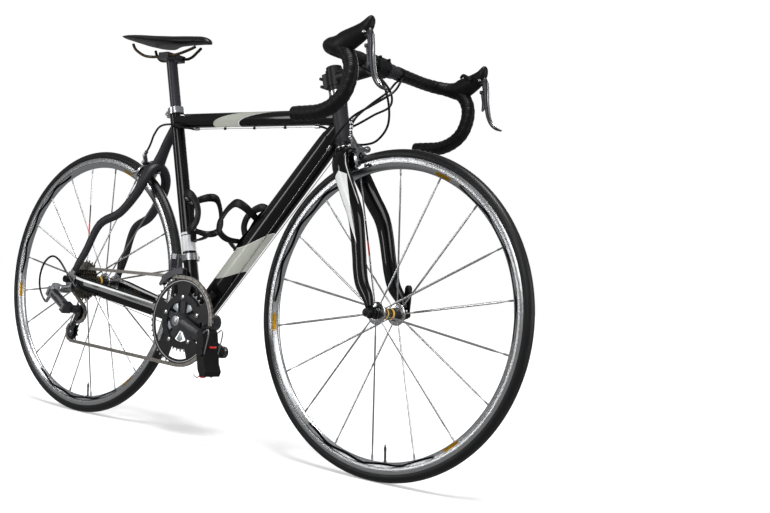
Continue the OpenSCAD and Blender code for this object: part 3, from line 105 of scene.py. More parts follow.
RD_FRONT = RD_REAR + 62 * RD_X
CLAMP = SEAT_TOP + 132 * SEAT_DIR
TRACK_R = 311
FRONT_BRAKE = FRONT - 24 * HEAD_FWD + (math.sqrt(TRACK_R**2 - 24**2) + 43) * HEAD_DIR
REAR_BRAKE = REAR + (TRACK_R + 43) * direction(56.2)
Y = Vector((0, 1, 0))


# --- shader graphs -------------------------------------------------------------------------------
class Graph:
    """A material under construction, with short ways to add and join its nodes."""

    def __init__(self, name: str) -> None:
        """Starts a material with one Principled shader.

        Args:
            name: The material's name.
        """
        self.material = bpy.data.materials.new(name)
        self.material.use_nodes = True
        self.tree = self.material.node_tree
        self.shader = self.tree.nodes["Principled BSDF"]

    def node(self, kind: str, inputs: dict[str, object] | None = None,
            **settings: object) -> bpy.types.Node:
        """Adds a node.

        Args:
            kind: The node's type name.
            inputs: Socket name to a value or to another node's output.
            settings: Properties of the node.

        Returns:
            The node.
        """
        made = self.tree.nodes.new(kind)
        for key, value in settings.items():
            setattr(made, key, value)
        for key, value in (inputs or {}).items():
            self.feed(made.inputs[key], value)
        return made

    def feed(self, socket: Socket, value: object) -> None:
        """Gives a socket a value, or links it to an output.

        Args:
            socket: The input.
            value: A socket or a constant.
        """
        if isinstance(value, bpy.types.NodeSocket):
            self.tree.links.new(value, socket)
        else:
            socket.default_value = value

    def place(self) -> tuple[Socket, Socket, Socket]:
        """The surface point's X, Y and Z in the object's frame, in millimetres."""
        coords = self.node("ShaderNodeTexCoord").outputs["Object"]
        scaled = self.node("ShaderNodeVectorMath", operation="SCALE")
        self.feed(scaled.inputs[0], coords)
        scaled.inputs["Scale"].default_value = 1 / METRES
        split = self.node("ShaderNodeSeparateXYZ", {"Vector": scaled.outputs[0]})
        return split.outputs["X"], split.outputs["Y"], split.outputs["Z"]

    def sum(self, operation: str, a: object, b: object = 0.0, clamp: bool = False) -> Socket:
        """One Math node; a and b are numbers or outputs.

        Args:
            operation: The Math node's operation.
            a: First value.
            b: Second value.
            clamp: Whether it stays in 0 to 1.

        Returns:
            The node's output.
        """
        made = self.node("ShaderNodeMath", operation=operation, use_clamp=clamp)
        self.feed(made.inputs[0], a)
        self.feed(made.inputs[1], b)
        return made.outputs[0]

    def along(self, axis: Vector, origin: Vector) -> Socket:
        """Distance of the surface point from origin along an axis of the centre plane.

        Args:
            axis: The way it is counted.
            origin: Where it is counted from, in millimetres.

        Returns:
            The length in millimetres.
        """
        x, y, z = self.place()
        run = self.sum("ADD", self.sum("MULTIPLY", x, axis.x), self.sum("MULTIPLY", z, axis.z))
        run = self.sum("ADD", run, self.sum("MULTIPLY", y, axis.y))
        return self.sum("SUBTRACT", run, origin.dot(axis))

    def step(self, value: object, edge: object, blur: float = 0.4) -> Socket:
        """0 below an edge and 1 above it, over a short blur."""
        gap = self.sum("SUBTRACT", value, edge)
        return self.sum("ADD", self.sum("DIVIDE", gap, blur), 0.5, clamp=True)

    def band(self, value: object, low: object, high: object, blur: float = 0.4) -> Socket:
        """1 between two edges and 0 outside them."""
        return self.sum("MULTIPLY", self.step(value, low, blur),
            self.sum("SUBTRACT", 1.0, self.step(value, high, blur)))

    def paint(self, base: object, over: object, mask: Socket) -> Socket:
        """Base colour with another laid over it where the mask is 1.

        Args:
            base: The colour below.
            over: The colour laid over it.
            mask: Where it is laid.

        Returns:
            The mixed colour.
        """
        mix = self.node("ShaderNodeMix", data_type="RGBA")
        self.feed(mix.inputs["Factor"], mask)
        for socket, value in ((mix.inputs[6], base), (mix.inputs[7], over)):
            self.feed(socket, (*value, 1.0) if isinstance(value, tuple) else value)
        return mix.outputs[2]

    def noise(self, scale: float, detail: float = 3.0, stretch: Colour | None = None) -> Socket:
        """Noise in the object's frame, finer as scale grows, optionally stretched.

        Args:
            scale: How fine the noise is.
            detail: Its octaves.
            stretch: How far it is drawn out along X, Y and Z.

        Returns:
            The noise, from 0 to 1.
        """
        vector = self.node("ShaderNodeTexCoord").outputs["Object"]
        if stretch:
            mapping = self.node("ShaderNodeMapping", {"Vector": vector, "Scale": stretch})
            vector = mapping.outputs["Vector"]
        made = self.node("ShaderNodeTexNoise", {"Vector": vector, "Scale": scale, "Detail": detail})
        return made.outputs["Fac"]

    def bump(self, height: Socket, strength: float, distance: float) -> None:
        """Dents the shader's normal by a height, over a distance in metres."""
        made = self.node("ShaderNodeBump", {"Height": height, "Strength": strength, "Distance": distance})
        self.feed(self.shader.inputs["Normal"], made.outputs["Normal"])


class Grain(Enum):
    """The small relief of a surface."""

    SMOOTH = "orange peel of a lacquer"
    FINE = "bead-blasted or moulded grain"
    BRUSHED = "lines left by turning or brushing"
    LEATHER = "creased grain"
    WOUND = "ribs across a wound tape, along the piece's own map"


@dataclass(frozen=True)
class Finish:
    """One finish of the bicycle.

    Attributes:
        name: The material's name.
        colour: Base colour.
        metallic: 1 for bare metal.
        roughness: Mean roughness.
        coat: Weight of the clear lacquer.
        grain: Kind of relief.
        relief: Strength of the relief.
        drift: How far the colour drifts over the piece.
        shine: Strength of the bare surface's reflection, 0.5 for a plain dielectric.
    """

    name: str
    colour: Colour
    metallic: float = 0.0
    roughness: float = 0.4
    coat: float = 0.0
    grain: Grain = Grain.FINE
    relief: float = 0.12
    drift: float = 0.15
    shine: float = 0.5

    def material(self) -> bpy.types.Material:
        """The finish as a material, made once."""
        made = bpy.data.materials.get(self.name)
        if made:
            return made
        g = Graph(self.name)
        self.shade(g, self.colours(g, self.colour))
        return g.material

    def colours(self, g: Graph, base: object) -> object:
        """The colour over the piece; finishes with graphics add them here."""
        return base

    def shade(self, g: Graph, base: object) -> None:
        """Sets the shader from a base colour, with soft wear, grain and lacquer.

        Args:
            g: The graph it is drawn in.
            base: The colour below.
        """
        wear = g.noise(38.0, 5.0)
        dark = g.node("ShaderNodeHueSaturation", {"Value": 1 - self.drift})
        g.feed(dark.inputs["Color"], (*base, 1.0) if isinstance(base, tuple) else base)
        g.feed(g.shader.inputs["Base Color"], g.paint(base, dark.outputs[0], g.step(wear, 0.5, 0.5)))
        g.shader.inputs["Metallic"].default_value = self.metallic
        rough = g.node("ShaderNodeMapRange", {
            "Value": g.noise(120.0, 4.0), "To Min": self.roughness * 0.75, "To Max": self.roughness * 1.25})
        g.feed(g.shader.inputs["Roughness"], rough.outputs[0])
        g.shader.inputs["Specular IOR Level"].default_value = self.shine
        g.shader.inputs["Coat Weight"].default_value = self.coat
        g.shader.inputs["Coat Roughness"].default_value = 0.06
        if self.grain is Grain.SMOOTH:
            g.bump(g.noise(260.0, 1.0), self.relief, 0.0002)
        elif self.grain is Grain.FINE:
            g.bump(g.noise(1900.0, 2.0), self.relief, 0.0003)
        elif self.grain is Grain.BRUSHED:
            g.bump(g.noise(1100.0, 2.0, (1.0, 0.06, 1.0)), self.relief, 0.0002)
        elif self.grain is Grain.LEATHER:
            coords = g.node("ShaderNodeTexCoord").outputs["Object"]
            cells = g.node("ShaderNodeTexVoronoi", {"Vector": coords, "Scale": 620.0},
                feature="DISTANCE_TO_EDGE")
            g.bump(cells.outputs["Distance"], self.relief, 0.0008)
        else:
            self.wind(g)

    def wind(self, g: Graph) -> None:
        """Raised ribs and overlaps round a wound tape, from the map's length.

        Args:
            g: The graph it is drawn in.
        """
        uv = g.node("ShaderNodeTexCoord").outputs["UV"]
        split = g.node("ShaderNodeSeparateXYZ", {"Vector": uv})
        turn = g.sum("ADD", g.sum("MULTIPLY", split.outputs["X"], 46.0), split.outputs["Y"])
        lap = g.sum("FRACT", turn)
        rib = g.sum("ABSOLUTE", g.sum("SINE", g.sum("MULTIPLY", turn, 2 * math.pi * 3)))
        height = g.sum("ADD", g.sum("MULTIPLY", lap, 0.9), g.sum("MULTIPLY", rib, 0.3))
        g.bump(height, self.relief, 0.0012)


BLACK: Colour = (0.0022, 0.0022, 0.0026)
GLOSS_BLACK = Finish("gloss_black", BLACK, 0.0, 0.3, 0.75, Grain.SMOOTH, 0.05, 0.1, 0.05)
CARBON_BLACK = Finish("carbon_black", (0.003, 0.003, 0.0035), 0.0, 0.3, 0.4, Grain.SMOOTH, 0.05, 0.15, 0.2)
SATIN_BLACK = Finish("satin_black", (0.003, 0.003, 0.0034), 0.0, 0.36, 0.1, Grain.FINE, 0.1, 0.15, 0.4)
MOULDED_BLACK = Finish("moulded_black", (0.003, 0.003, 0.0034), 0.0, 0.34, 0.0, Grain.FINE, 0.25, 0.15, 0.3)
RUBBER_BLACK = Finish("rubber_black", (0.003, 0.003, 0.0034), 0.0, 0.42, 0.0, Grain.FINE, 0.3, 0.2, 0.25)
HOUSING = Finish("housing_black", (0.004, 0.004, 0.0045), 0.0, 0.28, 0.0, Grain.SMOOTH, 0.1, 0.15, 0.4)
POLISHED = Finish("polished_alloy", (0.76, 0.77, 0.79), 1.0, 0.2, 0.0, Grain.BRUSHED, 0.05, 0.12)
SATIN_ALLOY = Finish("satin_alloy", (0.55, 0.56, 0.58), 1.0, 0.34, 0.0, Grain.FINE, 0.08, 0.15)
DARK_ALLOY = Finish("dark_alloy", (0.12, 0.12, 0.13), 0.9, 0.32, 0.0, Grain.FINE, 0.1)
STEEL = Finish("bright_steel", (0.62, 0.62, 0.63), 1.0, 0.22, 0.0, Grain.BRUSHED, 0.05)
CHAIN_STEEL = Finish("chain_steel", (0.2, 0.17, 0.13), 0.95, 0.4, 0.0, Grain.FINE, 0.2, 0.4)
LEATHER = Finish("saddle_leather", (0.005, 0.005, 0.0055), 0.0, 0.34, 0.0, Grain.LEATHER, 0.18, 0.2, 0.35)
TAPE = Finish("bar_tape", (0.0025, 0.0025, 0.003), 0.0, 0.4, 0.0, Grain.WOUND, 1.0, 0.2, 0.3)
RED = Finish("red_lacquer", (0.62, 0.02, 0.02), 0.0, 0.3, 0.6, Grain.SMOOTH, 0.05)
RAIL_BRONZE = Finish("rail_bronze", (0.1, 0.075, 0.05), 1.0, 0.35, 0.0, Grain.BRUSHED, 0.1)
SAGE: Colour = (0.36, 0.37, 0.33)
SILVER_PAINT: Colour = (0.62, 0.63, 0.64)


@dataclass(frozen=True)
class TubePaint(Finish):
    """Gloss black with one pale swoosh along a tube.

    Attributes:
        origin: Where the tube's own length is counted from.
        axis: The way it is counted.
        side: The way across the tube in the centre plane.
        first: Length at which the swoosh's round head starts.
        last: Length at which its tail ends.
        half: Half the tube's depth.
        rise: Share of the swoosh at which its short edge ends.
        curl: How far the round head leans along the tube, as a share of the swoosh.
        power: How suddenly both ends bend over.
    """

    origin: tuple[float, float, float] = (0, 0, 0)
    axis: tuple[float, float, float] = (1, 0, 0)
    side: tuple[float, float, float] = (0, 0, 1)
    first: float = 0.0
    last: float = 100.0
    half: float = 17.0
    rise: float = 1.6
    curl: float = 0.22
    power: float = 2.6

    def colours(self, g: Graph, base: object) -> object:
        """Lays the swoosh and its thin silver edge over the black.

        Args:
            g: The graph it is drawn in.
            base: The colour below.

        Returns:
            The painted colour.
        """
        run = g.along(Vector(self.axis), Vector(self.origin))
        across = g.sum("DIVIDE", g.along(Vector(self.side), Vector(self.origin)), self.half)
        share = g.sum("DIVIDE", g.sum("SUBTRACT", run, self.first), self.last - self.first)
        height = g.sum("MAXIMUM", g.sum("ADD", g.sum("MULTIPLY", across, 0.5), 0.5), 0.0)
        bend = g.sum("POWER", height, self.power)
        head = g.step(share, g.sum("MULTIPLY", bend, self.curl), 0.006)
        tail = g.sum("SUBTRACT", 1.0,
            g.step(share, g.sum("ADD", self.rise, g.sum("MULTIPLY", bend, 1.0 - self.rise)), 0.006))
        near = g.sum("ADD", self.rise - 0.012, g.sum("MULTIPLY", bend, 1.0 - self.rise))
        edge = g.sum("MULTIPLY", tail, g.step(share, near, 0.004))
        swoosh = g.sum("MULTIPLY", head, tail)
        return g.paint(g.paint(base, SAGE, swoosh), SILVER_PAINT, g.sum("MULTIPLY", edge, head))


# --- meshes ----------------------------------------------------------------------------------------
class Shape:
    """One mesh being built in millimetres with bmesh operators."""

    def __init__(self) -> None:
        """Starts empty."""
        self.bm = bmesh.new()

    def sweep(self, stations: Sequence[Sequence[float]], sides: int = 24, ref: Vector = Y,
            caps: bool = True) -> "Shape":
        """Runs an ellipse along stations and bridges its rings.

        Args:
            stations: [x, y, z, a, b] each: a lies along ref, b across it.
            sides: Corners of each ring.
            ref: The way a lies at the first station.
            caps: Whether both ends are closed.

        Returns:
            The shape.
        """
        points = [Vector(s[:3]) for s in stations]
        way = ref
        last: list[bmesh.types.BMEdge] = []
        uv = self.bm.loops.layers.uv.verify()
        length = 0.0
        for i, (p, s) in enumerate(zip(points, stations)):
            tangent = (points[min(i + 1, len(points) - 1)] - points[max(i - 1, 0)]).normalized()
            way = (way - way.dot(tangent) * tangent).normalized()
            frame_of = Matrix((way * s[3], tangent.cross(way) * s[4], tangent)).transposed().to_4x4()
            frame_of.translation = p
            ring = bmesh.ops.create_circle(self.bm, cap_ends=False, segments=sides, radius=1.0,
                matrix=frame_of)["verts"]
            edges = list({e for v in ring for e in v.link_edges})
            grown = length + ((p - points[i - 1]).length if i else 0.0)
            if last:
                faces = bmesh.ops.bridge_loops(self.bm, edges=last + edges)["faces"]
                for face in faces:
                    for loop in face.loops:
                        new = loop.vert in ring
                        turn = math.atan2((loop.vert.co - p).dot(tangent.cross(way)),
                            (loop.vert.co - p).dot(way))
                        loop[uv].uv = ((grown if new else length) * METRES, turn / (2 * math.pi) % 1.0)
            if caps and i in (0, len(points) - 1):
                bmesh.ops.contextual_create(self.bm, geom=edges)
            last, length = edges, grown
        return self

    def lathe(self, profile: Sequence[tuple[float, float]], centre: Vector, steps: int = 96,
            closed: bool = True) -> "Shape":
        """Spins a profile of (radius, y) round the Y axis through centre.

        Args:
            profile: (radius, y) corners.
            centre: A point of the axis.
            steps: Steps of the turn.
            closed: Whether the profile is a loop.

        Returns:
            The shape.
        """
        verts = [self.bm.verts.new(centre + Vector((r, y, 0))) for r, y in profile]
        pairs = list(zip(verts, verts[1:] + verts[:1])) if closed else list(zip(verts, verts[1:]))
        edges = [self.bm.edges.new(pair) for pair in pairs]
        bmesh.ops.spin(self.bm, geom=verts + edges, cent=centre, axis=Y, angle=2 * math.pi, steps=steps,
            use_merge=True)
        return self

    def plate(self, outline: Sequence[tuple[float, float]], frame_of: Matrix, thick: float,
            soft: float = 0.4) -> "Shape":
        """Extrudes an outline in its own X and Y by thick, and softens its two rims.

        Args:
            outline: (x, z) corners.
            frame_of: Its place and turn.
            thick: Its thickness.
            soft: Width of its bevels.

        Returns:
            The shape.
        """
        verts = [self.bm.verts.new(frame_of @ Vector((a, b, 0))) for a, b in outline]
        face = bmesh.ops.contextual_create(self.bm, geom=verts)["faces"][0]
        face.normal_update()
        grown = bmesh.ops.extrude_face_region(self.bm, geom=[face], use_keep_orig=True)["geom"]
        fresh = [g for g in grown if isinstance(g, bmesh.types.BMVert)]
        shift = frame_of.to_3x3() @ Vector((0, 0, thick))
        bmesh.ops.translate(self.bm, verts=fresh, vec=shift)
        if soft > 0:
            rims = {e for v in verts + fresh for e in v.link_edges
                    if abs((e.verts[0].co - e.verts[1].co).normalized().dot(shift.normalized())) < 0.5}
            rims = {e for e in rims if e.is_valid and len(e.link_faces) == 2 and e.calc_face_angle(0) > 0.6}
            bmesh.ops.bevel(self.bm, geom=list(rims), offset=soft, segments=2, profile=0.5, affect="EDGES",
                material=-1)
        return self

    def rod(self, a: Vector, b: Vector, r: float, r2: float | None = None, sides: int = 24,
            soft: float = 0.4) -> "Shape":
        """Round bar from a to b, tapered if r2 is given, with softened ends.

        Args:
            a: Its start.
            b: Its end.
            r: Radius at its start.
            r2: Radius at its end, the same if none is given.
            sides: Corners round it.
            soft: Width of its bevels.

        Returns:
            The shape.
        """
        axis = b - a
        turn = axis.to_track_quat("Z", "Y").to_matrix().to_4x4()
        turn.translation = (a + b) / 2
        made = bmesh.ops.create_cone(
            self.bm, cap_ends=True, segments=sides, radius1=r, radius2=r if r2 is None else r2,
            depth=axis.length, matrix=turn)
        if soft > 0:
            rims = {e for v in made["verts"] for e in v.link_edges
                    if abs((e.verts[0].co - e.verts[1].co).dot(axis)) < 1e-6}
            bmesh.ops.bevel(self.bm, geom=list(rims), offset=soft, segments=2, profile=0.5, affect="EDGES",
                material=-1)
        return self

    def piece(self, name: str, finish: Finish, body: str | None, replaces: Iterable[str] = (),
            levels: int = 0, angle: float = 40) -> bpy.types.Object:
        """Turns the shape into a finished piece.

        Args:
            name: The piece's name.
            finish: Its finish.
            body: The body it rides on, or None to leave it unattached.
            replaces: CAD nodes it stands for.
            levels: Subdivision levels.
            angle: Edges sharper than this many degrees stay sharp.

        Returns:
            The object.
        """
        bmesh.ops.remove_doubles(self.bm, verts=self.bm.verts, dist=0.001)
        bmesh.ops.recalc_face_normals(self.bm, faces=self.bm.faces)
        bmesh.ops.scale(self.bm, vec=(METRES,) * 3, verts=self.bm.verts)
        for face in self.bm.faces:
            face.smooth = True
        for edge in self.bm.edges:
            edge.smooth = len(edge.link_faces) != 2 or edge.calc_face_angle(0) < math.radians(angle)
        mesh = bpy.data.meshes.new(name)
        self.bm.to_mesh(mesh)
        self.bm.free()
        mesh.materials.append(finish.material())
        made = bpy.data.objects.new(name, mesh)
        bpy.context.scene.collection.objects.link(made)
        if levels:
            smooth = made.modifiers.new("subdivision", "SUBSURF")
            smooth.levels = smooth.render_levels = levels
        if body:
            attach(made, body)
        if replaces:
            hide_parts(*replaces)
        LOG.info("%s: %d faces", name, len(mesh.polygons))
        return made


def smooth(points: Sequence[Sequence[float]], steps: int) -> list[list[float]]:
    """Catmull-Rom curve through stations of any length, each gap cut into steps.

    Args:
        points: The stations it passes through.
        steps: Steps between two of them.

    Returns:
        The finer run of stations.
    """
    out: list[list[float]] = []
    n = len(points)
    for i in range(n - 1):
        p0, p1, p2, p3 = points[max(i - 1, 0)], points[i], points[i + 1], points[min(i + 2, n - 1)]
        for k in range(steps):
            t = k / steps
            out.append([0.5 * (2 * b + (c - a) * t + (2 * a - 5 * b + 4 * c - d) * t * t
                        + (3 * b - a - 3 * c + d) * t**3)
                        for a, b, c, d in zip(p0, p1, p2, p3)])
    out.append(list(points[-1]))
    return out


def other_side(stations: Sequence[Sequence[float]]) -> list[list[float]]:
    """The stations mirrored across the centre plane, in the opposite order."""
    return [[s[0], -s[1], *s[2:]] for s in reversed(stations)]


def arc(centre: tuple[float, float], r: float, start: float, end: float,
        steps: int) -> list[tuple[float, float]]:
    """Points on an arc, angles in degrees."""
    turns = [math.radians(start + (end - start) * k / steps) for k in range(steps + 1)]
    return [(centre[0] + r * math.cos(a), centre[1] + r * math.sin(a)) for a in turns]


def facing_y(y: float, at: Vector = Vector((0, 0, 0))) -> Matrix:
    """Frame whose X and Y lie along the bicycle's X and Z, at a distance y; its own Z points to -Y.

    Args:
        y: Where the plane lies.
        at: A point of the plane.

    Returns:
        The frame.
    """
    made = Matrix(((1, 0, 0), (0, 0, -1), (0, 1, 0))).to_4x4()
    made.translation = Vector((at.x, y, at.z))
    return made


def capsule(a: tuple[float, float], b: tuple[float, float], w: float,
        steps: int = 10) -> list[tuple[float, float]]:
    """Outline of a bar with round ends from a to b, w wide."""
    t = math.degrees(math.atan2(b[1] - a[1], b[0] - a[0]))
    return arc(a, w / 2, t + 90, t + 270, steps) + arc(b, w / 2, t - 90, t + 90, steps)


def places(stations: Sequence[tuple[float, ...]], at: Vector) -> list[list[float]]:
    """Stations whose places are taken from a point."""
    return [[s[0] + at.x, s[1] + at.y, s[2] + at.z, *s[3:]] for s in stations]


def dress(finish: Finish, *nodes: str) -> None:
    """Gives CAD nodes that stay in sight a finish.

    Args:
        finish: The finish.
        nodes: The CAD nodes.
    """
    for node in nodes:
        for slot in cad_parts[node].material_slots:
            slot.material = finish.material()
        LOG.info("%s: dressed in %s", node, finish.name)


@dataclass(frozen=True)
class SeatTubePaint(Finish):
    """Gloss black with two pale bands low on the seat tube."""

    def colours(self, g: Graph, base: object) -> object:
        """Lays a pale sleeve with a fine black line in it.

        Args:
            g: The graph it is drawn in.
            base: The colour below.

        Returns:
            The painted colour.
        """
        run = g.along(SEAT_DIR, BB)
        sleeve = g.paint(base, SILVER_PAINT, g.band(run, 168.0, 214.0))
        return g.paint(sleeve, self.colour, g.band(run, 206.0, 208.5))


@dataclass(frozen=True)
class StayPaint(Finish):
    """Gloss black with a pale line along the upper edge of each chain stay."""

    def colours(self, g: Graph, base: object) -> object:
        """Lays the line, which widens towards the rear dropout.

        Args:
            g: The graph it is drawn in.
            base: The colour below.

        Returns:
            The painted colour.
        """
        x, y, z = g.place()
        middle = g.sum("ADD", g.sum("MULTIPLY", g.sum("SUBTRACT", -87.0, x), 0.166), 268.0)
        height = g.sum("SUBTRACT", z, middle)
        low = g.sum("ADD", 9.5, g.sum("MULTIPLY", g.sum("ADD", x, 430.0), 0.012))
        line = g.sum("MULTIPLY", g.band(height, low, 15.0), g.band(x, -446.0, -190.0))
        return g.paint(base, SILVER_PAINT, line)


@dataclass(frozen=True)
class ForkPaint(Finish):
    """Gloss black with a pale panel on the outer face of each upper leg, drawn to a point."""

    def colours(self, g: Graph, base: object) -> object:
        """Lays the panels.

        Args:
            g: The graph it is drawn in.
            base: The colour below.

        Returns:
            The painted colour.
        """
        y = g.sum("ABSOLUTE", g.place()[1])
        up = g.along(HEAD_DIR, FRONT)
        ahead = g.along(HEAD_FWD, FRONT)
        fall = g.sum("SUBTRACT", 300.0, up)
        offset = g.sum("ABSOLUTE",
            g.sum("SUBTRACT", ahead, g.sum("ADD", -38.0, g.sum("MULTIPLY", fall, 0.19))))
        half = g.sum("SUBTRACT", 17.0, g.sum("MULTIPLY", fall, 0.108))
        outer = g.step(y, g.sum("ADD", 33.0, g.sum("MULTIPLY", fall, 0.118)), 0.6)
        high = g.sum("SUBTRACT", 1.0,
            g.step(up, g.sum("SUBTRACT", 306.0, g.sum("MULTIPLY", offset, 0.7)), 0.6))
        panel = g.sum("MULTIPLY", g.sum("MULTIPLY", outer, high), g.step(half, offset, 0.5))
        return g.paint(base, (0.72, 0.73, 0.73), panel)


def polar(g: Graph, centre: Vector) -> tuple[Socket, Socket]:
    """Radius in millimetres and share of a turn about a wheel's centre.

    Args:
        g: The graph it is drawn in.
        centre: The wheel's centre.

    Returns:
        The radius and the share of a turn.
    """
    x, _, z = g.place()
    dx, dz = g.sum("SUBTRACT", x, centre.x), g.sum("SUBTRACT", z, centre.z)
    radius = g.sum("SQRT", g.sum("ADD", g.sum("MULTIPLY", dx, dx), g.sum("MULTIPLY", dz, dz)))
    return radius, g.sum("DIVIDE", g.sum("ARCTAN2", dz, dx), 2 * math.pi)


@dataclass(frozen=True)
class RimFinish(Finish):
    """Machined rim with a turned brake track, black waves and small amber patches.

    Attributes:
        centre: The wheel's centre.
    """

    centre: tuple[float, float, float] = (0, 0, 0)

    def colours(self, g: Graph, base: object) -> object:
        """Lays three groups of waves below the brake track.

        Args:
            g: The graph it is drawn in.
            base: The colour below.

        Returns:
            The painted colour.
        """
        radius, turn = polar(g, Vector(self.centre))
        share = g.sum("FRACT", g.sum("ADD", g.sum("MULTIPLY", turn, 3.0), 3.12))
        inside = g.band(share, 0.08, 0.62, 0.01)
        sway = g.sum("MULTIPLY", g.sum("SINE", g.sum("MULTIPLY", share, 42.0)), 1.7)
        wave = g.band(radius, g.sum("ADD", 296.2, sway), g.sum("ADD", 300.4, sway))
        second = g.band(radius, g.sum("SUBTRACT", 302.4, g.sum("MULTIPLY", sway, 0.5)), 303.8)
        black = g.sum("MULTIPLY", g.sum("MAXIMUM", wave, second), inside)
        amber = g.sum("MULTIPLY", g.band(share, 0.66, 0.72, 0.01), g.band(radius, 295.5, 303.0))
        lined = g.paint(base, (0.16, 0.16, 0.165), g.band(radius, 304.4, 305.2))
        return g.paint(g.paint(lined, (0.015, 0.015, 0.016), black), (0.8, 0.42, 0.02), amber)

    def shade(self, g: Graph, base: object) -> None:
        """Adds the turned rings of the brake track to the usual wear.

        Args:
            g: The graph it is drawn in.
            base: The colour below.
        """
        super().shade(g, base)
        radius, _ = polar(g, Vector(self.centre))
        g.bump(g.sum("SINE", g.sum("MULTIPLY", radius, 9.0)), 0.12, 0.0002)


@dataclass(frozen=True)
class TyreFinish(Finish):
    """Black rubber with a fine tread on its crown and moulded rings on its walls.

    Attributes:
        centre: The wheel's centre.
    """

    centre: tuple[float, float, float] = (0, 0, 0)

    def colours(self, g: Graph, base: object) -> object:
        """Greys the worn crown a little."""
        radius, _ = polar(g, Vector(self.centre))
        return g.paint(base, (0.012, 0.012, 0.0115), g.step(radius, 331.6, 1.5))

    def shade(self, g: Graph, base: object) -> None:
        """Adds slanted sipes outside the smooth middle of the crown.

        Args:
            g: The graph it is drawn in.
            base: The colour below.
        """
        super().shade(g, base)
        radius, turn = polar(g, Vector(self.centre))
        y = g.sum("ABSOLUTE", g.place()[1])
        slant = g.sum("ADD", g.sum("MULTIPLY", turn, 420.0), g.sum("MULTIPLY", y, 0.3))
        sipe = g.step(g.sum("FRACT", slant), 0.22, 0.08)
        where = g.sum("MULTIPLY", g.band(y, 4.0, 8.6, 0.8), g.step(radius, 326.0, 1.0))
        ring = g.sum("SINE", g.sum("MULTIPLY", radius, 3.0))
        height = g.sum("SUBTRACT", g.sum("MULTIPLY", ring, 0.15),
            g.sum("MULTIPLY", where, g.sum("SUBTRACT", 1.0, sipe)))
        g.bump(height, 0.6, 0.0006)


@dataclass(frozen=True)
class HubFinish(Finish):
    """Black barrel with a lettering-free amber band.

    Attributes:
        low: Where the band starts across the wheel.
        high: Where it ends.
    """

    low: float = -8.0
    high: float = 8.0

    def colours(self, g: Graph, base: object) -> object:
        """Lays the band with its thin dark borders.

        Args:
            g: The graph it is drawn in.
            base: The colour below.

        Returns:
            The painted colour.
        """
        y = g.place()[1]
        lined = g.paint(base, (0.75, 0.42, 0.03), g.band(y, self.low, self.high))
        return g.paint(lined, (0.02, 0.02, 0.02), g.band(y, self.low + 5, self.high - 5))


@dataclass(frozen=True)
class SpokeFinish(Finish):
    """Bright steel with one spoke's red and black decal.

    Attributes:
        centre: The wheel's centre.
        turn: Which way the marked spoke points, as a share of a turn.
    """

    centre: tuple[float, float, float] = (0, 0, 0)
    turn: float = 0.0

    def colours(self, g: Graph, base: object) -> object:
        """Lays the decal at mid-length of the marked spoke.

        Args:
            g: The graph it is drawn in.
            base: The colour below.

        Returns:
            The painted colour.
        """
        radius, turn = polar(g, Vector(self.centre))
        gap = g.sum("ABSOLUTE", g.sum("SUBTRACT", turn, self.turn))
        mark = g.sum("SUBTRACT", 1.0, g.step(gap, 0.012, 0.002))
        red = g.paint(base, (0.6, 0.02, 0.02), g.sum("MULTIPLY", mark, g.band(radius, 120.0, 152.0)))
        return g.paint(red, (0.02, 0.02, 0.02), g.sum("MULTIPLY", mark, g.band(radius, 152.0, 196.0)))


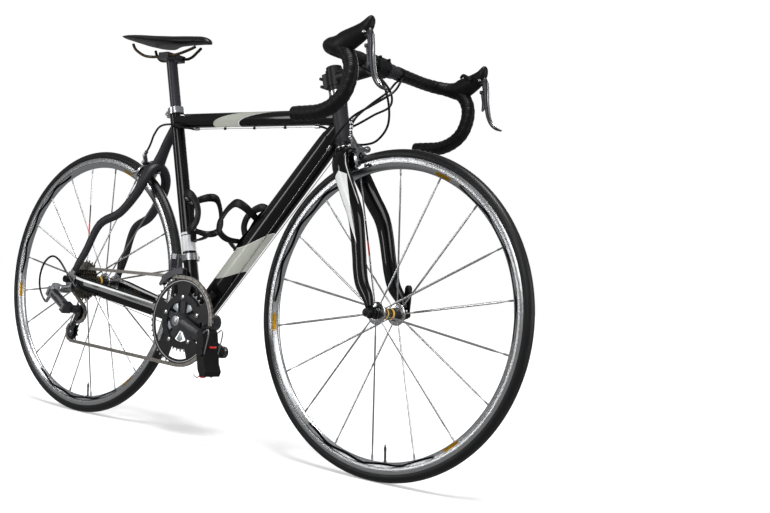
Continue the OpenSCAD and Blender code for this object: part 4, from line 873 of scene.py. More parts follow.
# --- sub-assemblies ----------------------------------------------------------------------------------
@dataclass
class Wheel:
    """One wheel: tyre, rim with its valve, spokes with nipples, and hub.

    Attributes:
        name: Prefix of its pieces, "front" or "rear".
        centre: Its axle.
        count: Spokes on each side.
        first: Angle of the first left spoke, degrees.
        left: Distance of the left flange from the centre plane.
        right: Distance of the right flange.
        ends: Where the hub's shell ends, right and left.
        barrel: Radius of the hub's barrel.
        flange: Radius of its flanges.
    """

    name: str
    centre: Vector
    count: int
    first: float
    left: float
    right: float
    ends: tuple[float, float]
    barrel: float
    flange: float = 23.0

    @property
    def body(self) -> str:
        """The body that the wheel is."""
        return f"{self.name}_wheel"

    def build(self) -> None:
        """Builds every piece of the wheel."""
        self.tyre()
        self.rim()
        self.spokes()
        self.hub()

    def tyre(self) -> None:
        """Round tyre with a slight shoulder where it meets the rim."""
        ring, r = TYRE_R - 11.7, 11.7
        turns = [math.radians(a) for a in range(-26, 207, 8)]
        wall = [(ring + r * math.sin(a), r * math.cos(a)) for a in turns]
        bead = [(RIM_TOP + 0.3, -8.2), (RIM_TOP - 4.5, -8.0), (RIM_TOP - 4.5, 8.0), (RIM_TOP + 0.3, 8.2)]
        finish = TyreFinish(f"{self.name}_tyre_rubber", (0.006, 0.006, 0.0062), 0.0, 0.36, 0.0, Grain.FINE,
            0.25, 0.15, 0.35,
                            centre=tuple(self.centre))
        piece = Shape().lathe(wall + bead, self.centre, 192).piece(f"{self.name}_tyre_skin", finish,
            self.body, [f"{self.name}_tyre"])

    def rim(self) -> None:
        """Hollow rim section with hooked edges, a brake track and a rounded spoke bed, with its valve."""
        h = 9.75
        section = [(RIM_TOP - 0.6, -h), (RIM_TOP, -h + 0.5), (RIM_TOP, -h + 1.4), (RIM_TOP - 5.1, -h + 1.4),
                   (RIM_TOP - 7.5, -3), (RIM_TOP - 7.5, 3), (RIM_TOP - 5.1, h - 1.4), (RIM_TOP, h - 1.4),
                   (RIM_TOP, h - 0.5),
                   (RIM_TOP - 0.6, h), (RIM_TOP - 11.5, h), (RIM_TOP - 12.4, h - 0.4),
                   (RIM_TOP - 13.2, h - 0.7),
                   (RIM_TOP - 18, 7.2), (RIM_LOW + 2.6, 4.6), (RIM_LOW + 0.8, 3.2), (RIM_LOW, 1.6),
                   (RIM_LOW, -1.6), (RIM_LOW + 0.8, -3.2), (RIM_LOW + 2.6, -4.6), (RIM_TOP - 18, -7.2),
                   (RIM_TOP - 13.2, -h + 0.7), (RIM_TOP - 12.4, -h + 0.4), (RIM_TOP - 11.5, -h)]
        finish = RimFinish(f"{self.name}_rim_metal", (0.74, 0.75, 0.77), 1.0, 0.24, 0.0, Grain.FINE, 0.05,
            0.1,
                           centre=tuple(self.centre))
        piece = Shape().lathe(section, self.centre, 192).piece(f"{self.name}_rim_shell", finish, self.body,
            [f"{self.name}_rim"])
        way = Vector((3, 0, -28)).normalized()
        foot, tip = self.centre + RIM_LOW * way, self.centre + (RIM_LOW - 34) * way
        valve = Shape().rod(foot, foot - 30 * way, 2.2, soft=0.3).rod(foot - 28 * way, foot - 21 * way, 2.7)
        valve.rod(foot - 3 * way, foot, 3.0, soft=0.5).rod(foot - 30 * way, tip, 1.4)
        for k in range(8):
            valve.rod(foot - (4 + 2 * k) * way, foot - (5 + 2 * k) * way, 2.4, soft=0.2)
        valve.piece(f"{self.name}_valve_stem", DARK_ALLOY, self.body)

    def spokes(self) -> None:
        """Bladed spokes from slotted flanges to their nipples in the rim."""
        blades, nipples = Shape(), Shape()
        for y, rim_y, start in ((self.left, 1.2, self.first),
            (-self.right, -1.2, self.first + 180 / self.count)):
            for k in range(self.count):
                way = direction(start + 360 * k / self.count)
                hub = self.centre + (self.flange - 3) * way + y * Y
                rim = self.centre + (RIM_LOW + 0.5) * way + rim_y * Y
                run = (rim - hub).normalized()
                length = (rim - hub).length
                widths = ((0, 1.3, 1.3), (14, 1.3, 1.3), (30, 1.0, 2.3), (length - 36, 1.0, 2.3),
                    (length - 20, 1.3, 1.3), (length - 6, 1.3, 1.3))
                blades.sweep([[*(hub + d * run), a, b] for d, a, b in widths], 10)
                nipples.rod(rim - 13 * run, rim - 9 * run, 1.5, 2.1, 12, 0.2).rod(rim - 9 * run, rim, 2.1,
                    2.1, 8, 0.2)
        marked = ((self.first + 180 / self.count) % 360 + 360 * 2 / self.count) / 360
        finish = SpokeFinish(f"{self.name}_spoke_steel", (0.7, 0.71, 0.73), 1.0, 0.24, 0.0, Grain.FINE,
            0.03, 0.1,
                             centre=tuple(self.centre), turn=marked if marked < 0.5 else marked - 1)
        piece = blades.piece(f"{self.name}_spoke_blades", finish, self.body, [f"{self.name}_spokes"])
        nipples.piece(f"{self.name}_nipples", SATIN_ALLOY, self.body)

    def hub(self) -> None:
        """Waisted black barrel between two bright slotted flanges."""
        low, high = self.ends
        b, f = self.barrel, self.flange
        right, left = -self.right, self.left
        middle = (right + left) / 2
        shell = [(5.2, low), (10.4, low), (11, low + 0.6), (11, right - 3), (b, right), (b, right + 6),
            (b - 2.5, middle - 6),
                 (b - 2.5, middle + 6), (b, left - 6), (b, left), (11, left + 3), (11, high - 0.6),
                 (10.4, high), (5.2, high)]
        finish = HubFinish(f"{self.name}_hub_black", (0.006, 0.006, 0.007), 0.0, 0.3, 0.3, Grain.SMOOTH,
            0.05, 0.15, 0.4,
                           low=middle - 12, high=middle + 12)
        piece = Shape().lathe(shell, self.centre, 64).piece(f"{self.name}_hub_barrel", finish, self.body,
            [f"{self.name}_hub"])
        flanges = Shape()
        for y in (right, left):
            ring = [(b - 1, y - 2.3), (f - 3, y - 2.3), (f - 0.8, y - 1.4), (f, y - 0.5), (f, y + 0.5),
                (f - 0.8, y + 1.4), (f - 3, y + 2.3), (b - 1, y + 2.3)]
            flanges.lathe(ring, self.centre, 72)
        flanges.piece(f"{self.name}_hub_flanges", POLISHED, self.body)
        anchors = Shape()
        for y, start in ((left, self.first), (right, self.first + 180 / self.count)):
            for k in range(self.count):
                way = direction(start + 360 * k / self.count)
                at = self.centre + (f - 3.2) * way
                anchors.rod(at + (y - 2.6) * Y, at + (y + 2.6) * Y, 1.9, sides=12, soft=0.5)
        anchors.piece(f"{self.name}_spoke_anchors", STEEL, self.body)


@dataclass
class FrameSet:
    """The frame: four main tubes, the stays and the dropouts.

    Attributes:
        sides: Corners round a tube.
    """

    sides: int = 48

    def build(self) -> None:
        """Builds the tubes and stays, and dresses the small fittings."""
        self.top_tube()
        self.down_tube()
        self.upright_tubes()
        self.chain_stays()
        self.seat_stays()
        dress(SATIN_BLACK, "bottom_bracket_shell", "bearing_cups")
        dress(POLISHED, "frame_fittings")

    def top_tube(self) -> None:
        """Round tube that swells a little into both its joints."""
        length = (TT_FRONT - TT_REAR).length
        runs = ((8, 16.6, 17.6), (22, 16.8, 17.2), (46, 17, 17), (length - 60, 17, 17),
            (length - 34, 17.2, 18), (length - 8, 17.4, 20))
        stations = smooth([[*(TT_REAR + d * TT_DIR), a, b] for d, a, b in runs], 6)
        finish = TubePaint("top_tube_paint", BLACK, 0.0, 0.3, 0.75, Grain.SMOOTH, 0.05, 0.1, 0.05,
                           origin=tuple(TT_REAR), axis=tuple(TT_DIR), side=tuple(-TT_DOWN), first=140.0,
                           last=350.0, half=17.0,
                           rise=0.4, curl=0.5)
        piece = Shape().sweep(stations, self.sides).piece("top_tube_shell", finish, "frame", ["top_tube"])

    def down_tube(self) -> None:
        """Deep oval tube, deepest at mid-length."""
        length = (DT_FRONT - BB).length
        runs = ((14, 20, 24), (60, 20.6, 27.6), (length * 0.5, 21, 28), (length - 70, 20.4, 27),
            (length - 30, 18.6, 24), (length - 8, 17.4, 22))
        stations = smooth([[*(BB + d * DT_DIR), a, b] for d, a, b in runs], 8)
        finish = TubePaint("down_tube_paint", BLACK, 0.0, 0.3, 0.75, Grain.SMOOTH, 0.05, 0.1, 0.05,
                           origin=tuple(BB), axis=tuple(DT_DIR), side=tuple(-DT_UP), first=120.0,
                           last=308.0, half=28.0,
                           rise=0.5, curl=0.37, power=1.7)
        piece = Shape().sweep(stations, self.sides).piece("down_tube_shell", finish, "frame", ["down_tube"])

    def upright_tubes(self) -> None:
        """Seat tube, and a head tube with a slight waist."""
        length = 524.0
        runs = ((6, 17.4, 17.4), (40, 16.5, 16.5), (length - 60, 16.5, 16.5), (length - 30, 16.7, 16.7),
            (length, 16.5, 16.5))
        finish = SeatTubePaint("seat_tube_paint", BLACK, 0.0, 0.3, 0.75, Grain.SMOOTH, 0.05, 0.1, 0.05)
        stations = smooth([[*(BB + d * SEAT_DIR), a, b] for d, a, b in runs], 5)
        Shape().sweep(stations, self.sides).piece("seat_tube_shell", finish, "frame", ["seat_tube"])
        heads = ((0, 18.5), (3, 19.2), (12, 18.4), (48, 17.6), (84, 18.4), (93, 19.2), (96, 18.5))
        stations = smooth([[*(HEAD_LOW + d * HEAD_DIR), r, r] for d, r in heads], 4)
        Shape().sweep(stations, self.sides).piece("head_tube_shell", GLOSS_BLACK, "frame", ["head_tube"])

    def chain_stays(self) -> None:
        """Two flattened stays with their slotted dropouts, the right one with the gear hanger."""
        a, side = REAR, 68.0
        stations = smooth([
            [BB.x - 6, -22, BB.z + 1, 7, 17], [BB.x - 70, -26, BB.z + 12, 7, 17],
            [BB.x - 160, -37, BB.z + 27, 8, 17],
            [a.x + 130, -55, a.z - 22, 8, 17], [a.x + 56, -side - 1, a.z - 10, 7, 17.5],
            [a.x + 24, -side - 0.6, a.z - 6, 4, 17]], 8)
        finish = StayPaint("stay_paint", BLACK, 0.0, 0.3, 0.75, Grain.SMOOTH, 0.05, 0.1, 0.05)
        shape = Shape().sweep(stations, 32).sweep(other_side(stations), 32)
        piece = shape.piece("chain_stay_shells", finish, "frame", ["chain_stays"])
        ends = Shape()
        ends.plate(capsule((a.x + 3, a.z + 4), (a.x + 44, a.z - 8), 24), facing_y(-65), 6, 0.8)
        for y in (-65.0, 71.0):
            ends.plate(self.dropout(a), facing_y(y), 5.9, 0.7)
            ends.plate(capsule((a.x + 1, a.z + 4), (a.x + 16, a.z + 26), 15), facing_y(y - 0.1), 5.7, 0.8)
            ends.plate(capsule((a.x + 12, a.z + 1), (a.x + 44, a.z - 8), 25), facing_y(y - 0.2), 5.5, 0.8)
        ends.plate(capsule((a.x - 2, a.z - 10), (a.x - 4, a.z - 26), 18), facing_y(-65.3), 5.4, 0.8)
        ends.piece("dropouts", SATIN_ALLOY, "frame")

    def dropout(self, a: Vector) -> list[tuple[float, float]]:
        """Round plate's outline with the axle's slot open downwards and a little forwards.

        Args:
            a: The axle.

        Returns:
            Its corners.
        """
        way, out = direction(-78.7), direction(11.3)
        r = 5.15
        foot = 16.2
        rim = arc((0, 0), 17, -78.7 + 19, 360 - 78.7 - 19, 30)
        mouth = [(-r * out.x + foot * way.x, -r * out.z + foot * way.z), (-r * out.x, -r * out.z)]
        back = [(r * out.x, r * out.z), (r * out.x + foot * way.x, r * out.z + foot * way.z)]
        return [(a.x + p, a.z + q) for p, q in rim + mouth + arc((0, 0), r, 191.3, 11.3, 8)[1:-1] + back]

    def seat_stays(self) -> None:
        """Wishbone: two stays that meet over the tyre and reach the seat tube as one thin neck."""
        a = REAR
        top = a + 361 * direction(56.2) + Vector((7, 0, -3))
        side = [
            [a.x + 17, -68.4, a.z + 22, 4.4, 9], [a.x + 26, -67, a.z + 40, 6.2, 10.5],
            [a.x + 45, -62, a.z + 75, 7, 11],
            [top.x - 130, -54, a.z + 143, 8, 11], [top.x - 66, -47, top.z - 122, 9, 11],
            [top.x - 20, -40, top.z - 72, 10, 12],
            [top.x - 4, -34, top.z - 35, 11, 14], [top.x, -20, top.z - 9, 11, 16],
            [top.x + 1, 0, top.z + 1, 10, 17]]
        joint = BB + 479 * SEAT_DIR
        neck = [[top.x - 2, 0, top.z - 2, 17, 15], [top.x + 14, 0, top.z + 30, 13, 13],
            [joint.x - 30, 0, joint.z - 34, 12, 12],
                [joint.x - 6, 0, joint.z + 2, 12, 13], [joint.x + 4, 0, joint.z + 12, 12.5, 14]]
        shape = Shape().sweep(smooth(side + other_side(side)[1:], 6), 32).sweep(smooth(neck, 6), 32)
        shape.rod(REAR_BRAKE - 17 * direction(146.2), REAR_BRAKE + 17.6 * direction(146.2), 8.6, sides=32)
        piece = shape.piece("seat_stay_shells", GLOSS_BLACK, "frame", ["seat_stays"])


@dataclass
class ForkSet:
    """The fork, its dropouts and the crown.

    Attributes:
        half: Distance of a dropout's outer face from the centre plane.
    """

    half: float = 56.0

    def build(self) -> None:
        """Builds the S-curved legs in one sweep over the crown, and the dropouts."""
        crown = CROWN - 13 * HEAD_DIR
        leg = [(-0.6, -56, 13, 7, 9), (-10, -56, 32, 7, 13), (-28, -54, 56, 8, 16), (-38, -52, 84, 9, 17),
            (-45, -50, 112, 9, 17),
               (-57, -48, 160, 9, 18), (-70, -45, 196, 10, 19), (-92, -40, 230, 11, 20),
               (-112, -36, 262, 12, 20), (-132, -31, 294, 12, 21)]
        side = places(leg, FRONT) + [[crown.x + 6, -20, crown.z - 7, 12, 22],
            [crown.x, 0, crown.z, 11.5, 23]]
        shape = Shape().sweep(smooth(side + other_side(side)[1:], 6), 36)
        shape.rod(crown - 4 * HEAD_DIR, CROWN - 1.2 * HEAD_DIR, 19.6, 18.8, 48, 1.0)
        finish = ForkPaint("fork_paint", BLACK, 0.0, 0.3, 0.75, Grain.SMOOTH, 0.05, 0.1, 0.05)
        piece = shape.piece("fork_shell", finish, "fork_and_bars", ["fork"])
        plates = Shape()
        for y in (-50.0, self.half):
            at = FRONT
            plates.plate(self.tip(at), facing_y(y), 5.9, 0.7)
            plates.plate(capsule((at.x - 3, at.z + 8), (at.x - 8, at.z + 17), 16), facing_y(y - 0.1), 5.7,
                0.7)
        plates.piece("fork_dropouts", SATIN_BLACK, "fork_and_bars")
        Shape().rod(CROWN - 0.9 * HEAD_DIR, CROWN + 0.4 * HEAD_DIR, 19.7, sides=64,
            soft=0.3).piece("crown_race", POLISHED, "fork_and_bars")

    def tip(self, at: Vector) -> list[tuple[float, float]]:
        """Round fork end's outline with its slot open downwards.

        Args:
            at: The leg's end.

        Returns:
            The shape.
        """
        r = 5.15
        rim = arc((0, 0), 12, -81.5 + 27, 360 - 81.5 - 27, 26)
        way, out = direction(-81.5), direction(8.5)
        foot = 11.0
        mouth = [(-r * out.x + foot * way.x, -r * out.z + foot * way.z), (-r * out.x, -r * out.z)]
        back = [(r * out.x, r * out.z), (r * out.x + foot * way.x, r * out.z + foot * way.z)]
        return [(at.x + p, at.z + q) for p, q in rim + mouth + arc((0, 0), r, 188.5, 8.5, 8)[1:-1] + back]


@dataclass
class Cockpit:
    """Stem, handlebar, wound tape, hoods and the levers in them."""

    def build(self) -> None:
        """Builds the bar and tape, then the hoods and their levers on both sides."""
        dress(SATIN_BLACK, "stem")
        self.stem()
        self.bar()
        self.tape()
        self.hoods()
        for side, m in (("right", -1), ("left", 1)):
            self.lever(side, m)
            self.paddle(side, m)
            self.thumb(side, m)

    def half(self, extra: float) -> list[list[float]]:
        """One side of the bar from its end to the clamp, with its section grown.

        Args:
            extra: How far it stands above the bare bar.

        Returns:
            The stations.
        """
        h = BAR_HALF
        points = [(-30, h, -138, 1, 1), (0, h, -138, 1, 1), (34, h, -136, 1, 1), (64, h, -125, 1, 1),
            (86, h, -106, 1, 1),
                  (97, h, -80, 1, 1), (98, h, -54, 1, 1), (88, h, -31, 1, 1), (69, h, -15, 1, 1),
                  (46, h - 5, -8, 1, 1),
                  (24, h - 22, -5, 1.1, 0.95), (11, h - 52, -3, 1.35, 0.9), (5, h - 94, -1, 1.4, 0.9),
                  (2, h - 134, 0, 1.2, 0.96)]
        return [[BAR.x + x, y, BAR.z + z, BAR_R * a + extra, BAR_R * b + extra] for x, y, z, a, b in points]

    def stem(self) -> None:
        """Lower clamp ring of the spacers and a bright bolt in the top cap."""
        at = HEAD_HIGH + 78.2 * HEAD_DIR
        bolt = Shape().rod(at - 1.5 * HEAD_DIR, at + 1.4 * HEAD_DIR, 5.0, soft=0.8).rod(at,
            at + 1.9 * HEAD_DIR, 3.4, sides=6, soft=0.2)
        bolt.piece("top_cap_bolt", STEEL, "fork_and_bars")
        for k, finish in ((0, POLISHED), (1, SATIN_BLACK)):
            low = HEAD_HIGH + (12.2 + 10.8 * k) * HEAD_DIR
            Shape().rod(low, low + 10.4 * HEAD_DIR, 18.15, sides=64, soft=0.8).piece(f"spacer_{k}", finish,
                "fork_and_bars")

    def bar(self) -> None:
        """Bare middle of the bar, swelling into the clamp."""
        side = smooth(self.half(-0.05), 5)
        wide = [[BAR.x, 44, BAR.z, 15.85, 15.85]]
        middle = [[BAR.x, 0, BAR.z, 15.85, 15.85]]
        stations = side + wide + middle + other_side(wide) + other_side(side)
        piece = Shape().sweep(stations, 32).piece("handlebar_tube", CARBON_BLACK, "fork_and_bars",
            ["handlebar"])

    def tape(self) -> None:
        """Tape wound round the drops and tops, swelling and thinning with each lap, and its end plugs."""
        shape = Shape()
        side = smooth(self.half(2.2), 12)
        length = 0.0
        for i, s in enumerate(side):
            length += (Vector(s[:3]) - Vector(side[i - 1][:3])).length if i else 0.0
            lap = (length / 14.0) % 1.0
            s[3] += 0.95 * lap
            s[4] += 0.95 * lap
        shape.sweep(side, 32).sweep(other_side(side), 32)
        piece = shape.piece("bar_tape_wound", TAPE, "fork_and_bars", ["bar_tape"], angle=60)
        plugs = Shape()
        for m in (-1, 1):
            at = Vector((BAR.x - 30, m * BAR_HALF, BAR.z - 138))
            plugs.rod(at - Vector((3.8, 0, 0)), at, 14.2, sides=48, soft=1.2)
            edge = Vector((BAR.x + 2, m * (BAR_HALF - 134), BAR.z))
            plugs.rod(edge - m * 9 * Y, edge + m * 3 * Y, 14.9, 14.9, 40, 0.6)
        plugs.piece("bar_plugs", MOULDED_BLACK, "fork_and_bars")

    def hoods(self) -> None:
        """Sculpted rubber hoods: full at the bar, waisted, rising into a rounded horn."""
        h = BAR_HALF
        points = [(38, h - 7, -7.4, 15.3, 14.4), (46, h - 4.6, -8, 15.8, 15.4),
            (56, h - 2.4, -9.4, 16.2, 17.6), (66, h - 1, -9.6, 16.6, 20.6), (76, h - 0.4, -7.4, 16.9, 22.6),
                  (87, h - 0.5, -3, 16.9, 22), (98, h - 1, 2, 16.6, 20), (107, h - 1.5, 6.4, 16, 18.4),
                  (114, h - 2, 10.6, 15.4, 17), (121, h - 2.5, 16, 14.4, 14.8),
                  (127, h - 3, 22.6, 13.2, 12), (131, h - 4, 30, 11.2, 9),
                  (132.6, h - 4.6, 36, 8.4, 6), (133, h - 5, 40, 4, 2.6)]
        shape = Shape()
        side = smooth([[BAR.x + x, y, BAR.z + z, a, b] for x, y, z, a, b in points], 4)
        shape.sweep(side, 32).sweep(other_side(side), 32)
        piece = shape.piece("hood_rubbers", RUBBER_BLACK, "fork_and_bars", ["lever_hoods"])
        pins = Shape()
        for m in (-1, 1):
            at = BAR + Vector((128, m * (h - 2), 8))
            pins.rod(at - 12.6 * Y, at + 12.6 * Y, 3.1, sides=24, soft=0.6)
        pins.piece("lever_pivot_pins", STEEL, "fork_and_bars")

    def lever(self, side: str, m: int) -> None:
        """Brake lever blade, hollow-fronted, curving forwards at its tip.

        Args:
            side: "right" or "left".
            m: -1 for the right side, 1 for the left.
        """
        p = BAR + Vector((128, m * (BAR_HALF - 2), 8))
        points = [(-1, 0, 9, 5.4, 6), (4, 0, 3, 6.4, 7.4), (9, 0, -9, 6.8, 7.4), (12, 0, -24, 7, 6.6),
            (15.4, 0, -44, 7.1, 5.4), (20, 0, -64, 7.1, 4.6), (26, 0, -82, 6.8, 4.2),
                  (34.6, 0, -95.4, 6.2, 3.8), (45, 0, -103.6, 5.4, 3.2), (56, 0, -107.6, 4, 2.4),
                  (60, 0, -108.6, 1.6, 1.3)]
        shape = Shape().sweep(smooth([[p.x + x, p.y + y, p.z + z, a, b] for x, y, z, a, b in points], 5),
            24)
        shape.rod(p - 6 * Y, p + 6 * Y, 7.6, sides=32, soft=1.2)
        piece = shape.piece(f"brake_blade_{side}", CARBON_BLACK, f"brake_lever_{side}",
            [f"brake_lever_{side}"])
        edge = [(15.6, 0, -4, 3, 1.2), (18.2, 0, -24, 4.2, 1.2), (20.4, 0, -44, 4.4, 1.2),
            (24.2, 0, -62, 4.2, 1.2), (29.4, 0, -79.4, 3.8, 1.2), (37, 0, -91.8, 2.8, 1.0),
            (46, 0, -99.6, 1.6, 0.8)]
        inlay = Shape().sweep(smooth([[p.x + x, p.y + y, p.z + z, a, b] for x, y, z, a, b in edge], 4), 16)
        inlay.piece(f"blade_inlay_{side}", POLISHED, f"brake_lever_{side}")

    def paddle(self, side: str, m: int) -> None:
        """Shift paddle behind the blade, a curved tongue with a dished tip.

        Args:
            side: "right" or "left".
            m: -1 for the right side, 1 for the left.
        """
        p = BAR + Vector((128, m * (BAR_HALF - 2), 8))
        points = [(4, -22, 2.0, 4), (6, -32, 2.2, 4), (8.6, -42, 2.2, 4), (10, -49, 2.3, 4.2),
            (10.4, -56, 2.3, 4.2), (9.6, -62, 2.1, 3.6), (8.4, -66, 1.4, 2)]
        shape = Shape().sweep(smooth([[p.x + x - 1, p.y, p.z + z, a, b] for x, z, a, b in points], 5), 24)
        shape.rod(p + Vector((-2, 0, -24)), p + Vector((10, 0, -24)), 4, sides=24, soft=0.6)
        shape.piece(f"paddle_tongue_{side}", DARK_ALLOY, f"shift_paddle_{side}", [f"shift_paddle_{side}"])

    def thumb(self, side: str, m: int) -> None:
        """Thumb lever on the hood's inner face.

        Args:
            side: "right" or "left".
            m: -1 for the right side, 1 for the left.
        """
        p = BAR + Vector((112, m * (BAR_HALF - 18.6), 8))
        stations = [[p.x, p.y - m * 6.5, p.z, 2.4, 4.6], [p.x - 9, p.y - m * 6.8, p.z + 5, 2.4, 4.2],
            [p.x - 18, p.y - m * 7, p.z + 9, 2.5, 4.0],
                    [p.x - 23, p.y - m * 7, p.z + 5.6, 2.4, 3.2],
                    [p.x - 25, p.y - m * 7, p.z + 3, 1.4, 1.8]]
        shape = Shape().sweep(smooth(stations, 5), 20).rod(p - m * 9.2 * Y, p, 3.2, sides=20, soft=0.5)
        shape.piece(f"thumb_tab_{side}", MOULDED_BLACK, f"thumb_lever_{side}", [f"thumb_lever_{side}"])


@dataclass
class Cables:
    """Black housings and the bare cables between their stops.

    Attributes:
        housing: Radius of a housing.
    """

    housing: float = 2.45

    def build(self) -> None:
        """Builds the housings in front of the head tube and those that the frame holds."""
        self.bar_housings()
        self.frame_housings()

    def run_of(self, points: Sequence[Vector], r: float, steps: int = 6) -> list[list[float]]:
        """Stations of a round cord through given points."""
        return smooth([[*p, r, r] for p in points], steps)

    def bar_housings(self) -> None:
        """Four housings that leave the tape, cross in front of the head tube and reach their stops."""
        reach = 21 + 3.2 + 0.2
        stop = DT_FRONT - 52 * DT_DIR - (7 + reach * math.cos(math.radians(50))) * DT_UP + 13.8 * DT_DIR
        y = reach * math.sin(math.radians(50))
        start = [stop + y * Y, stop + 12 * DT_DIR + (y + 5) * Y]
        out = BAR_HALF - 135.1
        top = TT_FRONT - 62 * TT_DIR + 20.4 * TT_DOWN + 7.6 * TT_DIR
        routes = (
            start + [Vector(v) for v in ((348, 33, 684), (385, 29, 692), (420, 15, 720), (436, -10, 760),
            (430, -32, 802),
                                         (BAR.x + 18.5, 8 - out, BAR.z - 11.5),
                                         (BAR.x + 17, -out, BAR.z - 10))],
            [Vector((v.x, -v.y, v.z)) for v in start + [Vector(w) for w in (
                (340, 41, 700), (375, 46, 728), (412, 34, 752), (440, 4, 784), (432, -28, 812),
                (BAR.x + 18.5, 8 - out, BAR.z - 11.5), (BAR.x + 17, -out, BAR.z - 10))]],
            [Vector(v) for v in ((360.2, -31, 702), (360, -30, 712), (370, -25, 734), (394, -10, 762),
            (414, 10, 788), (414, 34, 812),
                                 (BAR.x + 10, out - 8, BAR.z - 18), (BAR.x + 8.5, out, BAR.z - 15.5))],
            [top, top + 6 * TT_DIR + Y] + [Vector(v) for v in (
                (266, 22, 714), (290, 31, 716), (326, 35, 730), (364, 37, 748), (404, 36, 764),
                (424, 10, 786), (420, -30, 812),
                (BAR.x + 10, 8 - out, BAR.z - 18), (BAR.x + 8.5, -out, BAR.z - 15.5))])
        for k, route in enumerate(routes):
            name = ("gear_housing_a", "gear_housing_b", "brake_housing_front", "brake_housing_rear")[k]
            shape = Shape().sweep(self.run_of(route, self.housing), 16)
            held = k == 2
            made = shape.piece(name, HOUSING, "fork_and_bars" if held else None, ["bar_cables"])
            if not held:
                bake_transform(made)

    def frame_housings(self) -> None:
        """Housings to the rear brake and rear derailleur, with bare cable between stops."""
        tops = [TT_FRONT - 62 * TT_DIR + 20.4 * TT_DOWN, TT_REAR + 74 * TT_DIR + 20.4 * TT_DOWN]
        stay = REAR + Vector((108, -68.6, -32))
        stay_way = Vector((-30, -3, 3)).normalized()
        gear = [stay + 8 * stay_way] + [Vector(v) for v in (
            (-398, -76, 305), (-430, -84, 318), (-462, -89, 350), (-500, -88, 379), (-534, -86, 387),
            (-564, -84, 371),
            (-581, -82, 340), (-580, -81, 308), (-566, -80, 284), (-549, -80, 270))]
        brake = [tops[1] - 6.6 * TT_DIR, tops[1] - 12 * TT_DIR - Y] + [Vector(v) for v in (
            (-158, -8, 722), (-176, -17, 723), (-204, -26, 729), (-236, -31, 724), (-254, -32, 704),
            (-262, -31.5, 687),
            (-268.6, -31, 674.6), (-274.9, -31, 665.2))]
        shape = Shape().sweep(self.run_of(gear, self.housing), 16).sweep(self.run_of(brake, self.housing),
            16)
        shape.rod(stay, stay + 9 * stay_way, 3.4, 3.2, 20, 0.6)
        piece = shape.piece("frame_housings", HOUSING, "frame", ["rear_cables"])
        reach = 24.4
        stop = DT_FRONT - 52 * DT_DIR - (7 + reach * math.cos(math.radians(50))) * DT_UP
        y, low = reach * math.sin(math.radians(50)), BB.z - 27.3
        bare = Shape().rod(tops[0] - 6 * TT_DIR, tops[1] + 6 * TT_DIR, 0.8, sides=10, soft=0.0)
        fd = BB + 153 * SEAT_DIR
        for m, rest in ((-1, [stay]),
            (1, [Vector((BB.x - 27, 5, BB.z - 18)), Vector((fd.x - 8, -24, fd.z - 7))])):
            points = [stop + m * y * Y, Vector((BB.x + 14, 8 * m, low)), Vector((BB.x - 14, 8 * m, low)),
                *rest]
            for a, b in zip(points, points[1:]):
                bare.rod(a, b, 0.8, sides=10, soft=0.0)
        bare.piece("bare_cables", STEEL, "frame")
        rings = Shape()
        for k in (1, 2, 3):
            at = tops[0].lerp(tops[1], k / 4)
            rings.rod(at - 2 * TT_DIR, at + 2 * TT_DIR, 3.0, sides=20, soft=0.8)
        rings.piece("cable_rings", RUBBER_BLACK, "frame")


@dataclass
class SeatSet:
    """Saddle, rails and seatpost head."""

    def build(self) -> None:
        """Builds the saddle and rails, and dresses the post."""
        dress(CARBON_BLACK, "seatpost")
        self.saddle()
        self.rails()

    def saddle(self) -> None:
        """Long leather saddle: flat wide tail, slim waist, rounded nose, with turned-down sides."""
        points = [(-0.5, 52.5, 0.24, 3), (-0.49, 53, 0.33, 5.2), (-0.465, 53.4, 0.425, 7.4),
            (-0.42, 52, 0.48, 9.6), (-0.36, 50, 0.497, 11), (-0.28, 47.6, 0.482, 12.2),
                  (-0.2, 45.4, 0.432, 13), (-0.13, 44, 0.356, 13.5), (-0.06, 43, 0.285, 14),
                  (0.02, 41.8, 0.218, 14), (0.1, 40.8, 0.182, 13.9),
                  (0.2, 39.6, 0.15, 13.6), (0.3, 38.2, 0.134, 12.8), (0.38, 37, 0.125, 12),
                  (0.435, 35, 0.108, 10.4), (0.47, 32.6, 0.084, 8.2), (0.49, 30, 0.052, 5.2),
                  (0.496, 29, 0.03, 3)]
        stations = smooth([[CLAMP.x + 270 * u, 0, CLAMP.z + z, 136 * a, b] for u, z, a, b in points], 3)
        shape = Shape().sweep(stations, 48)
        for v in shape.bm.verts:
            near = min(stations, key=lambda s: abs(s[0] - v.co.x))
            out = min(1.0, abs(v.co.y) / max(near[3], 1e-6))
            v.co.z -= 4.0 * out**3 * (near[3] / 68)
            if v.co.z < near[2]:
                v.co.z = near[2] - (near[2] - v.co.z) * 0.55
        made = shape.piece("saddle_cover", LEATHER, "seat", ["saddle"])

    def rails(self) -> None:
        """Two bent rails and the clamp's bolts."""
        shape = Shape()
        for m in (-1, 1):
            points = [(-0.4, 36, 32.6), (-0.36, 34, 18), (-0.27, 27, 4), (-0.17, 22, 0), (-0.09, 22, 0),
                (0.09, 22, 0), (0.13, 22, 0), (0.2, 19, 4), (0.28, 13, 12), (0.34, 9, 19)]
            shape.sweep(smooth([[CLAMP.x + 270 * u, m * y, CLAMP.z + 4 + z, 3.45, 3.45] for u, y,
                z in points], 6), 20)
        piece = shape.piece("saddle_rail_pair", RAIL_BRONZE, "seat", ["saddle_rails"])
        bolts = Shape()
        for x in (-13, 13):
            at = CLAMP + Vector((x, 0, -4))
            bolts.rod(at - Vector((0, 0, 1.4)), at + Vector((0, 0, 17)), 3.2, sides=24, soft=0.6)
        bolts.piece("seat_clamp_bolts", STEEL, "seat")


